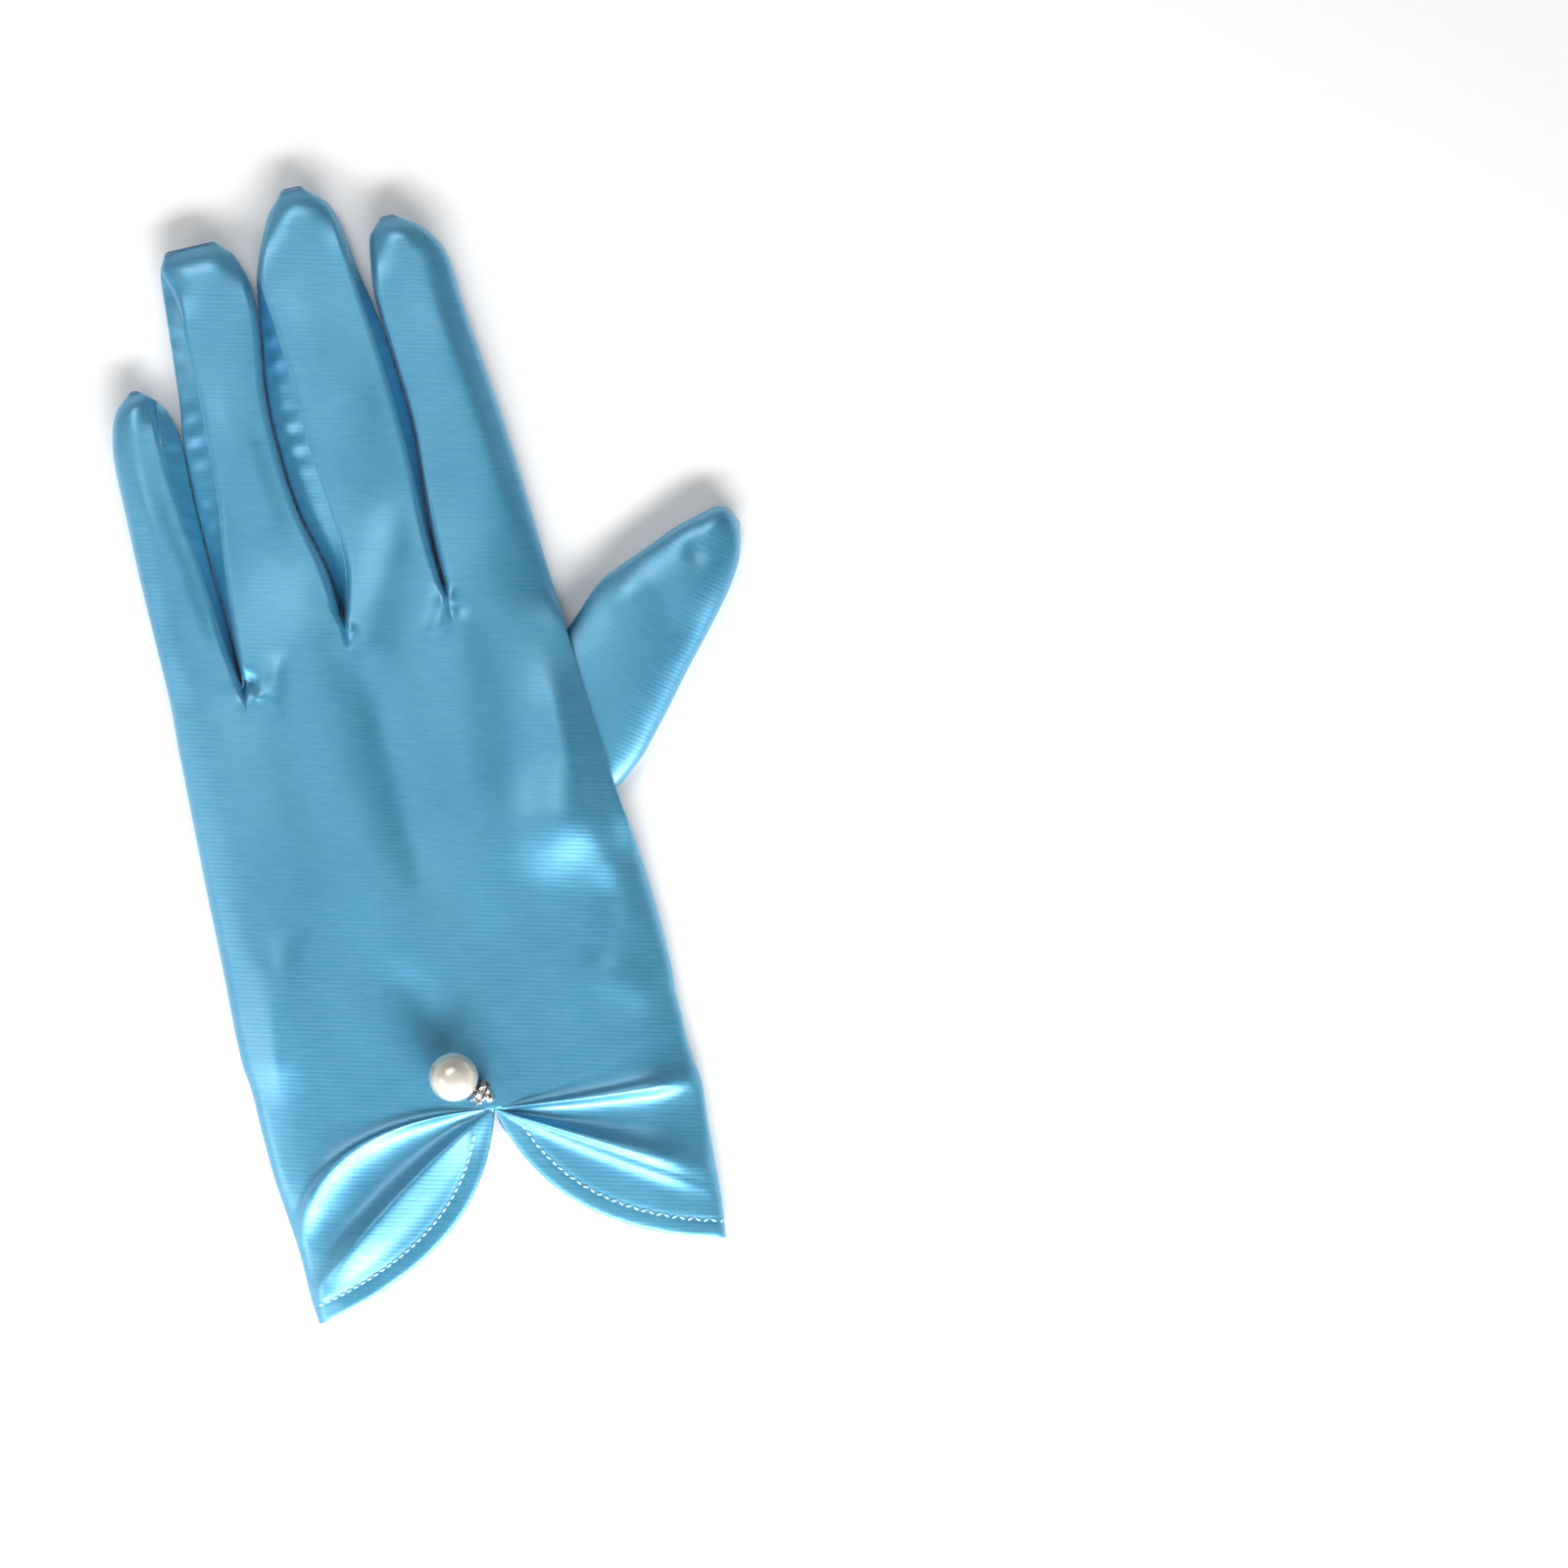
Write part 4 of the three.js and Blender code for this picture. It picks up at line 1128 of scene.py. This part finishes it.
def make_fourchette(k):
    def place(u, w):
        run = 2 * u - 1
        at = STRIP_END * np.abs(run)
        x, y, z = 0 * u, 0 * u, 0 * u
        for finger, side, on in ((k, "right", run < 0), (k + 1, "left", run >= 0)):
            share = np.full(on.sum(), 0.0 if side == "left" else 1.0)
            top_x, top_y, left, right = finger_point(finger, "back", at[on], share)
            foot_x, foot_y, foot_left, foot_right = finger_point(finger, "palm", at[on], share)
            top_z = back_finger_height(finger, at[on], top_x, left, right)
            foot_z = palm_finger_height(finger, at[on], foot_x, foot_left, foot_right)
            down = w[on]
            x[on] = mix(top_x, foot_x, down)
            y[on] = mix(top_y, foot_y, down)
            z[on] = mix(top_z, foot_z, down)
        slack = np.sin(math.pi * w) * parted(at) * smooth(*SLACK_FROM, at)
        dimples = np.sin(DIMPLE_RATE * y + 2 * k) * np.sin(DIMPLE_GROUPS * y + k)
        dimples = dimples * smooth(*DIMPLES_FROM, at)
        return x, y, z - slack * (SLACK + DIMPLES * dimples)

    return place


print("slack", SLACK, "mm")

# %% Sew the fourchettes
STRIP_COLUMNS = 240
STRIP_ROWS = 12
for k, pair in enumerate(("little_ring", "ring_middle", "middle_index")):
    strip = bmesh.new()
    patch(strip, STRIP_COLUMNS, STRIP_ROWS, make_fourchette(k))
    finish_cloth(f"fourchette_{pair}_strip", strip, f"fourchette_{pair}")

# %% [markdown]
# ## The thumb
# The thumb is a tube of cloth that is set into the palm's side, and its root hides under the edge of the
# back. It could be a bent cylinder. A table of its sections is used, because both of its edges can then
# follow the real outline, from the root to the tip.

# %% Sections of the thumb
THUMB_ROWS = rows(
    "at upper_x upper_y lower_x lower_y tuck height",
    (0, 0, 0.645, 0, 0.07, 1, 0.88),
    (0.12, -0.03, 0.67, -0.07, 0.05, 0, 0.88),
    (0.28, 0.215, 0.82, 0.148, 0.145, 0, 0.97),
    (0.4, 0.34, 0.865, 0.35, 0.29, 0, 1),
    (0.54, 0.52, 0.915, 0.525, 0.43, 0, 1),
    (0.68, 0.675, 0.96, 0.7, 0.565, 0, 1),
    (0.8, 0.8, 0.985, 0.83, 0.67, 0, 0.95),
    (0.9, 0.9, 1, 0.925, 0.765, 0, 0.84),
    (0.96, 0.97, 0.985, 0.98, 0.845, 0, 0.7),
    (1, 1, 0.945, 1, 0.9, 0, 0.55),
)
THUMB_REACH = 40.0
ROOT_ROOM = 0.45


def thumb_end(name, at):
    y = THUMB_FOOT + read(THUMB_ROWS, "at", name + "_y", at) * THUMB_SPREAD
    tucked = read(THUMB_ROWS, "at", "tuck", at) * (THUMB_TUCK - ROOT_ROOM)
    x = side_edge(False, y) + read(THUMB_ROWS, "at", name + "_x", at) * THUMB_REACH - tucked
    return x, y


print("thumb", THUMB_REACH, "mm out and", THUMB_SPREAD, "mm along the hand")

# %% Points of the thumb
THUMB_LOFT = 7.6
BELT_SHARE = 0.44
THUMB_CLOSES = (0.9, 1)
THUMB_FULLNESS = 0.8
TIP_WIDTH = 0.85
UNDER_RATE = 1.6
TOP_SIDE = (0.2, 0.8)
THUMB_PUCKERS = rows(
    "x y radius rise",
    (50.5, 96.0, 4.5, 0.7),
    (57.0, 88.0, 5.0, -0.5),
    (65.7, 100.7, 2.4, -0.6),
    (70.5, 105.5, 3.0, 0.5),
)


def thumb_place(u, w):
    # The grid runs round the thumb with u and out to the tip with w.
    angle = 2 * math.pi * u
    upper_x, upper_y = thumb_end("upper", w)
    lower_x, lower_y = thumb_end("lower", w)
    close = np.sqrt(np.maximum(1 - smooth(*THUMB_CLOSES, w) ** 2, 0))
    height = read(THUMB_ROWS, "at", "height", w) * THUMB_LOFT
    across = np.sign(np.cos(angle)) * np.abs(np.cos(angle)) ** THUMB_FULLNESS * mix(1, close, TIP_WIDTH)
    x = mix(lower_x, upper_x, (1 + across) / 2)
    y = mix(lower_y, upper_y, (1 + across) / 2)
    belt = height * BELT_SHARE
    over = np.maximum(np.sin(angle), 0) ** THUMB_FULLNESS
    under = np.maximum(belt * (1 + UNDER_RATE * np.minimum(np.sin(angle), 0)), 0)
    z = np.where(np.sin(angle) > 0, belt + (height - belt) * over, under)
    z = mix(belt, z, close)
    top = smooth(*TOP_SIDE, np.sin(angle)) * close
    return x, y, z + top * (puckers(x, y, THUMB_PUCKERS) + wrinkles(x, y))


print("thumb", THUMB_LOFT, "mm high")

# %% Sew the thumb
THUMB_SLANT = math.radians(38)
THUMB_COLUMNS = 56
THUMB_LINES = 90


def thumb_uv(places):
    """Flat coordinates for the thumb's weave: along and across its slanted axis."""
    along = places[:, 0] * math.cos(THUMB_SLANT) + places[:, 1] * math.sin(THUMB_SLANT)
    across = -places[:, 0] * math.sin(THUMB_SLANT) + places[:, 1] * math.cos(THUMB_SLANT)
    return np.column_stack([across, along])


thumb_mesh = bmesh.new()
patch(thumb_mesh, THUMB_COLUMNS, THUMB_LINES, thumb_place)
glove_thumb, thumb_area = finish_cloth("glove_thumb", thumb_mesh, "thumb", flat_uv=False)

# %% [markdown]
# ## Hem stitches
# The hem is sewn through near its edge. Each stitch is a short loop of shiny thread that sinks into
# the cloth at both ends. A dashed texture would stay flat, so each stitch is a small flattened ball that
# is dropped on the cloth with a ray and turned along the hem.

# %% Thread
THREAD, _, thread_shader = new_material("thread")
fill(thread_shader, {"Base Color": (0.5, 0.78, 0.87, 1), "Roughness": 0.35, "Sheen Weight": 0.4})


def to_row(x, y, z=0.0):
    """A point of the frame, from millimetres at the gather."""
    return Vector(((x - HAND_MIDDLE) * MM, (y - REST_Y) * MM, z * MM))


back_copy = bmesh.new()
back_copy.from_mesh(glove_back.data)
back_surface = BVHTree.FromBMesh(back_copy)
back_copy.free()
print("thread to be laid on", glove_back.name)

# %% Places of the stitches
STITCH_PITCH = 1.6
FIRST_STITCH = 6.0
LAST_STITCH = 0.8


def stitch_line(hem, inward):
    """Points every pitch along a hem, moved in by the hem's width, with their directions."""
    points = np.column_stack(hem[:2])
    tangent = np.gradient(points, axis=0)
    tangent /= np.linalg.norm(tangent, axis=1)[:, None]
    normal = np.column_stack([-tangent[:, 1], tangent[:, 0]]) * inward
    inner = points + normal * HEM_WIDTH
    length = np.concatenate([[0], np.cumsum(np.linalg.norm(np.diff(inner, axis=0), axis=1))])
    stops = np.arange(FIRST_STITCH, length[-1] - LAST_STITCH, STITCH_PITCH)
    for stop in stops:
        x = np.interp(stop, length, inner[:, 0])
        y = np.interp(stop, length, inner[:, 1])
        turn = math.atan2(np.interp(stop, length, tangent[:, 1]), np.interp(stop, length, tangent[:, 0]))
        yield x, y, turn, stop / length[-1]


print(sum(1 for _ in stitch_line(little_hem, -1)), "places on the little finger's side")

# %% Stitches
STITCH_SIZE = 0.6
STITCH_SHAPE = (1.0, 0.42, 0.34)
STITCH_LIFT = 0.08
LEANS = (-0.5, 0.8)


def add_stitches(mesh, hem, inward, zigzag):
    """Lays a stitch on the cloth at each place; where zigzag is 1 they lean to and fro."""
    count = 0
    for x, y, turn, share in stitch_line(hem, inward):
        hit, normal, _, _ = back_surface.ray_cast(to_row(x, y, 30), Vector((0, 0, -1)))
        if hit is None:
            continue
        made = bmesh.ops.create_icosphere(mesh, subdivisions=2, radius=STITCH_SIZE * MM)
        verts = made["verts"]
        bmesh.ops.scale(mesh, vec=STITCH_SHAPE, verts=verts)
        lean = zigzag * share * LEANS[count % 2]
        twist = Vector((0, 0, 1)).rotation_difference(normal).to_matrix()
        bmesh.ops.rotate(mesh, matrix=twist @ Matrix.Rotation(turn + lean, 3, "Z"), verts=verts)
        bmesh.ops.translate(mesh, vec=hit + normal * STITCH_LIFT * MM, verts=verts)
        count += 1
    return count


def add_object(name, mesh, material, node=None, sharp=False):
    """Makes an object of one material, which may stand in for a CAD node."""
    data = bpy.data.meshes.new(name)
    mesh.to_mesh(data)
    mesh.free()
    for polygon in data.polygons:
        polygon.use_smooth = not sharp
    data.materials.append(material)
    piece = bpy.data.objects.new(name, data)
    bpy.context.collection.objects.link(piece)
    if node:
        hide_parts(node)
    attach(piece, "root")
    print(name, len(data.polygons), "faces")
    return piece


stitch_mesh = bmesh.new()
made = add_stitches(stitch_mesh, little_hem, -1, 0)
made += add_stitches(stitch_mesh, thumb_hem, 1, 1)
print(made, "stitches")
hem_stitches = add_object("hem_stitches", stitch_mesh, THREAD)

# %% [markdown]
# ## The pin of the ornament
# A pearl, a rondelle and a small ball sit on one pin that is sewn over the gather. The pin's line runs
# through the pearl and the ball of the CAD. Turned pieces are spun from a half outline round their axis,
# which leaves a real hole through the pearl.

# %% The pin's line
PEARL_SIZE = 10.0
RONDELLE_SIZE = 5.6
RONDELLE_THICK = 2.0
PIN_SIZE = 2.4
BEAD_GAP = 0.3
pearl_low, pearl_high = (Vector(corner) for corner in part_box("pearl"))
pin_low, pin_high = (Vector(corner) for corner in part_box("pin_ball"))
pearl_middle = (pearl_low + pearl_high) / 2
pin_middle = (pin_low + pin_high) / 2
pin_way = (pin_middle - pearl_middle).normalized()
pin_turn = Vector((0, 0, 1)).rotation_difference(pin_way).to_matrix()
rondelle_middle = pearl_middle + pin_way * (PEARL_SIZE / 2 + BEAD_GAP + RONDELLE_THICK / 2) * MM
print("pin from", tuple(round(v, 4) for v in pearl_middle), "to", tuple(round(v, 4) for v in pin_middle))


def spun(outline, steps, middle):
    """Spins a half outline of (radius, height) pairs in millimetres round the pin."""
    mesh = bmesh.new()
    verts = [mesh.verts.new((r * MM, 0, h * MM)) for r, h in outline]
    edges = [mesh.edges.new(pair) for pair in zip(verts, verts[1:])]
    bmesh.ops.spin(
        mesh,
        geom=verts + edges,
        cent=(0, 0, 0),
        axis=(0, 0, 1),
        angle=2 * math.pi,
        steps=steps,
        use_merge=True,
    )
    bmesh.ops.remove_doubles(mesh, verts=mesh.verts, dist=1e-7)
    bmesh.ops.recalc_face_normals(mesh, faces=mesh.faces)
    bmesh.ops.rotate(mesh, matrix=pin_turn, verts=mesh.verts)
    bmesh.ops.translate(mesh, vec=middle, verts=mesh.verts)
    return mesh


# %% [markdown]
# ## The pearl
# A pearl is layers of nacre over a core: a soft glow of its own with a clear skin over it. A slightly
# metallic cream base gives the glow, slow noise keeps it from looking like plastic, and a smooth coat is
# the skin.

# %% Shape of the pearl
HOLE = 0.45
HALF_PEARL = PEARL_SIZE / 2


def half_circle(size, start, steps):
    """Half the outline of a ball, which stops at the same angle short of both ends of the pin."""
    angles = np.linspace(start, math.pi - start, steps)
    return [(size * math.sin(a), size * math.cos(a)) for a in angles]


first = math.asin(HOLE / HALF_PEARL)
outline = half_circle(HALF_PEARL, first, 40)
depth = HALF_PEARL * math.cos(first)
bore = [(HOLE, -h) for h in np.linspace(depth, -depth, 6)[1:]]
pearl_mesh = spun(outline + bore, 64, pearl_middle)
print("pearl of", len(pearl_mesh.faces), "faces")

# %% Nacre
NACRE, nacre_tree, nacre_shader = new_material("nacre")
nacre_place = add(nacre_tree, "ShaderNodeTexCoord")
nacre_noise = add(nacre_tree, "ShaderNodeTexNoise", {"Scale": 220, "Detail": 3})
link(nacre_tree, nacre_place.outputs["Object"], nacre_noise.inputs["Vector"])
nacre_tone = add(nacre_tree, "ShaderNodeMix")
nacre_tone.data_type = "RGBA"
fill(nacre_tone, {"A": (0.6, 0.56, 0.45, 1), "B": (0.76, 0.72, 0.62, 1)})
link(nacre_tree, nacre_noise.outputs["Fac"], nacre_tone.inputs["Factor"])
link(nacre_tree, nacre_tone.outputs["Result"], nacre_shader.inputs["Base Color"])
fill(nacre_shader, {"Metallic": 0.35, "Roughness": 0.28, "Coat Weight": 1.0, "Coat Roughness": 0.06})
add_object("pearl_bead", pearl_mesh, NACRE, "pearl")

# %% [markdown]
# ## The rondelle
# A rondelle is a small metal drum between two scalloped discs, with crystals set round it. The scallops
# are a circle whose radius goes in and out once for each crystal. The silver is a little uneven, because
# cast metal this small is never a perfect mirror.

# %% Silver
SILVER, silver_tree, silver_shader = new_material("silver")
silver_place = add(silver_tree, "ShaderNodeTexCoord")
silver_noise = add(silver_tree, "ShaderNodeTexNoise", {"Scale": 1500})
link(silver_tree, silver_place.outputs["Object"], silver_noise.inputs["Vector"])
silver_rough = add(silver_tree, "ShaderNodeMapRange", {"To Min": 0.12, "To Max": 0.3})
link(silver_tree, silver_noise.outputs["Fac"], silver_rough.inputs["Value"])
link(silver_tree, silver_rough.outputs["Result"], silver_shader.inputs["Roughness"])
fill(silver_shader, {"Base Color": (0.72, 0.68, 0.66, 1), "Metallic": 1.0})
print("material", SILVER.name)

# %% Discs and drum
CRYSTALS = 10
DISC_THICK = 0.35
SCALLOP = 0.07
DRUM_SHARE = 0.62
DRUM_LENGTH = 1.6
radius = RONDELLE_SIZE / 2
half = RONDELLE_THICK / 2


def flange(mesh, height, thick):
    made = bmesh.ops.create_circle(mesh, cap_ends=True, segments=CRYSTALS * 8, radius=radius * MM)
    for v in made["verts"]:
        angle = math.atan2(v.co.y, v.co.x)
        v.co *= 1 - SCALLOP + SCALLOP * math.cos(CRYSTALS * angle)
    face = next(face for face in mesh.faces if made["verts"][0] in face.verts)
    out = bmesh.ops.extrude_face_region(mesh, geom=[face])
    top = [v for v in out["geom"] if isinstance(v, bmesh.types.BMVert)]
    bmesh.ops.translate(mesh, vec=(0, 0, thick * MM), verts=top)
    every = top + list(made["verts"])
    bmesh.ops.translate(mesh, vec=(0, 0, height * MM), verts=every)


rondelle_mesh = bmesh.new()
flange(rondelle_mesh, -half, DISC_THICK)
flange(rondelle_mesh, half - DISC_THICK, DISC_THICK)
drum = DRUM_SHARE * radius * MM
drum_sizes = {"radius1": drum, "radius2": drum, "depth": DRUM_LENGTH * MM}
bmesh.ops.create_cone(rondelle_mesh, cap_ends=True, segments=40, **drum_sizes)
bmesh.ops.recalc_face_normals(rondelle_mesh, faces=rondelle_mesh.faces)
bmesh.ops.rotate(rondelle_mesh, matrix=pin_turn, verts=rondelle_mesh.verts)
bmesh.ops.translate(rondelle_mesh, vec=rondelle_middle, verts=rondelle_mesh.verts)
add_object("rondelle_rings", rondelle_mesh, SILVER, "crystal_rondelle", sharp=True)

# %% [markdown]
# ## The crystals
# Each crystal is a cut cone of clear glass that stands on the drum with its small face out. Ten small
# cones are enough at this size, with flat faces, since only sharp faces glitter. Clear glass needs
# transmission and almost no roughness.

# %% Crystals
CRYSTAL_SIZES = {"radius1": 0.74 * MM, "radius2": 0.4 * MM, "depth": 0.75 * MM}
CRYSTAL_FACETS = 8
CRYSTAL_LIFT = 0.32
crystal_mesh = bmesh.new()
for i in range(CRYSTALS):
    made = bmesh.ops.create_cone(crystal_mesh, cap_ends=True, segments=CRYSTAL_FACETS, **CRYSTAL_SIZES)
    verts = made["verts"]
    bmesh.ops.rotate(crystal_mesh, matrix=Matrix.Rotation(math.pi / CRYSTAL_FACETS, 3, "Z"), verts=verts)
    bmesh.ops.rotate(crystal_mesh, matrix=Matrix.Rotation(math.pi / 2, 3, "Y"), verts=verts)
    bmesh.ops.translate(crystal_mesh, vec=((DRUM_SHARE * radius + CRYSTAL_LIFT) * MM, 0, 0), verts=verts)
    spin = Matrix.Rotation(2 * math.pi * (i + 0.5) / CRYSTALS, 3, "Z")
    bmesh.ops.rotate(crystal_mesh, matrix=pin_turn @ spin, verts=verts)
    bmesh.ops.translate(crystal_mesh, vec=rondelle_middle, verts=verts)

CRYSTAL, _, crystal_shader = new_material("crystal")
fill(crystal_shader, {"Base Color": (0.95, 0.95, 0.97, 1), "Roughness": 0.03})
fill(crystal_shader, {"IOR": 1.58, "Transmission Weight": 0.85})
add_object("rondelle_crystals", crystal_mesh, CRYSTAL, sharp=True)

# %% [markdown]
# ## The pin and its ball
# The pin holds the beads, and its ball keeps them from sliding off. The ball is spun like the pearl. The
# rod is a thin cylinder between the two middles, most of it hidden in the beads.

# %% Pin ball
ROD = 0.35 * MM
ball_mesh = spun([(max(r, 0), h) for r, h in half_circle(PIN_SIZE / 2, 0, 20)], 32, pin_middle)
rod_sizes = {"radius1": ROD, "radius2": ROD, "depth": (pin_middle - pearl_middle).length}
rod = bmesh.ops.create_cone(ball_mesh, cap_ends=True, segments=16, **rod_sizes)
bmesh.ops.rotate(ball_mesh, matrix=pin_turn, verts=rod["verts"])
bmesh.ops.translate(ball_mesh, vec=(pin_middle + pearl_middle) / 2, verts=rod["verts"])
add_object("pin_end", ball_mesh, SILVER, "pin_ball")

# %% [markdown]
# ## Cloth sizes
# Each piece of cloth has its area summed from its faces when it is finished, in square centimetres.
# Panels follow the outline of the glove with the cloth of its curls. A fourchette is as long as its run
# up two fingers. It is narrower than a sheet may be declared, so its real area is declared beside it.

# %% [markdown]
# ## The floor
# A product photo is taken on white paper. One large plain face is enough, since the camera looks straight
# down. It isn't part of the glove.

# %% Floor
floor_mesh = bmesh.new()
bmesh.ops.create_grid(floor_mesh, x_segments=1, y_segments=1, size=1.5)
floor_data = bpy.data.meshes.new("floor")
floor_mesh.to_mesh(floor_data)
floor_mesh.free()
floor = bpy.data.objects.new("floor", floor_data)
bpy.context.collection.objects.link(floor)
FLOOR, _, floor_shader = new_material("floor_white")
fill(floor_shader, {"Base Color": (0.9, 0.9, 0.9, 1), "Roughness": 0.8})
floor_data.materials.append(FLOOR)
print("floor", [round(v, 1) for v in floor.dimensions[:2]], "m wide")

# %% [markdown]
# ## Surroundings
# Satin shows what stands round it. In a photo studio that is pale walls low down and a darker ceiling.
# The strength of the background falls softly with height, so the sides of the folds are bright and their
# tops keep a deep colour.

# %% Pale walls, dark ceiling
WALL_STRENGTH = 0.55
CEILING_STRENGTH = 0.1
world = bpy.data.worlds.new("studio")
world.use_nodes = True
tree = world.node_tree
sky_place = add(tree, "ShaderNodeTexCoord")
sky_split = add(tree, "ShaderNodeSeparateXYZ")
sky_inputs = {"From Min": 0.05, "From Max": 0.6, "To Min": WALL_STRENGTH, "To Max": CEILING_STRENGTH}
sky_shade = add(tree, "ShaderNodeMapRange", sky_inputs)
sky_shade.interpolation_type = "SMOOTHSTEP"
fill(tree.nodes["Background"], {"Color": (0.96, 0.98, 1, 1)})
link(tree, sky_place.outputs["Generated"], sky_split.inputs["Vector"])
link(tree, sky_split.outputs["Z"], sky_shade.inputs["Value"])
link(tree, sky_shade.outputs["Result"], tree.nodes["Background"].inputs["Strength"])
bpy.context.scene.world = world
print("surroundings from", WALL_STRENGTH, "to", CEILING_STRENGTH)

# %% [markdown]
# ## Lights
# Long soft bands of light show the folds of satin, as they glance off its ridges. The wide key light
# stands low beyond the cuff, so the wings gleam and the hand stays calm. A weak one over the fingers and
# one at the left fill the shadows.


# %% Softboxes
def softbox(name, place, aim, size, power, spread=180):
    lamp = bpy.data.lights.new(name, "AREA")
    lamp.shape = "RECTANGLE"
    lamp.size, lamp.size_y = size
    lamp.energy = power
    lamp.spread = math.radians(spread)
    holder = bpy.data.objects.new(name, lamp)
    bpy.context.collection.objects.link(holder)
    holder.location = place
    holder.rotation_euler = (Vector(aim) - Vector(place)).to_track_quat("-Z", "Y").to_euler()
    print(name, power, "W")


softbox("key_softbox", (0.0, -0.76, 0.46), (0, -0.04, 0), (1.1, 0.24), 17)
softbox("top_softbox", (-0.12, 0.5, 0.76), (0, 0.17, 0), (0.7, 0.4), 0.48, spread=60)
softbox("left_softbox", (-0.62, -0.22, 0.36), (0, 0, 0), (0.4, 0.26), 1.6)

# %% [markdown]
# ## Camera
# The camera looks straight down, as in the photo, from two metres away with a long lens, so the glove
# keeps its true outline. The picture is turned a little, because the glove lies aslant in it. The plain
# colour transform keeps white paper white.

# %% View and camera
bpy.context.scene.view_settings.view_transform = "Standard"
camera = bpy.data.cameras.new("camera")
camera.sensor_width = 36
camera.lens = 225
holder = bpy.data.objects.new("camera", camera)
bpy.context.collection.objects.link(holder)
holder.location = (0.0765, -0.0092, 2.0)
holder.rotation_euler = (0, 0, math.radians(-13.2))
bpy.context.scene.camera = holder
print("camera at", tuple(round(v, 3) for v in holder.location))
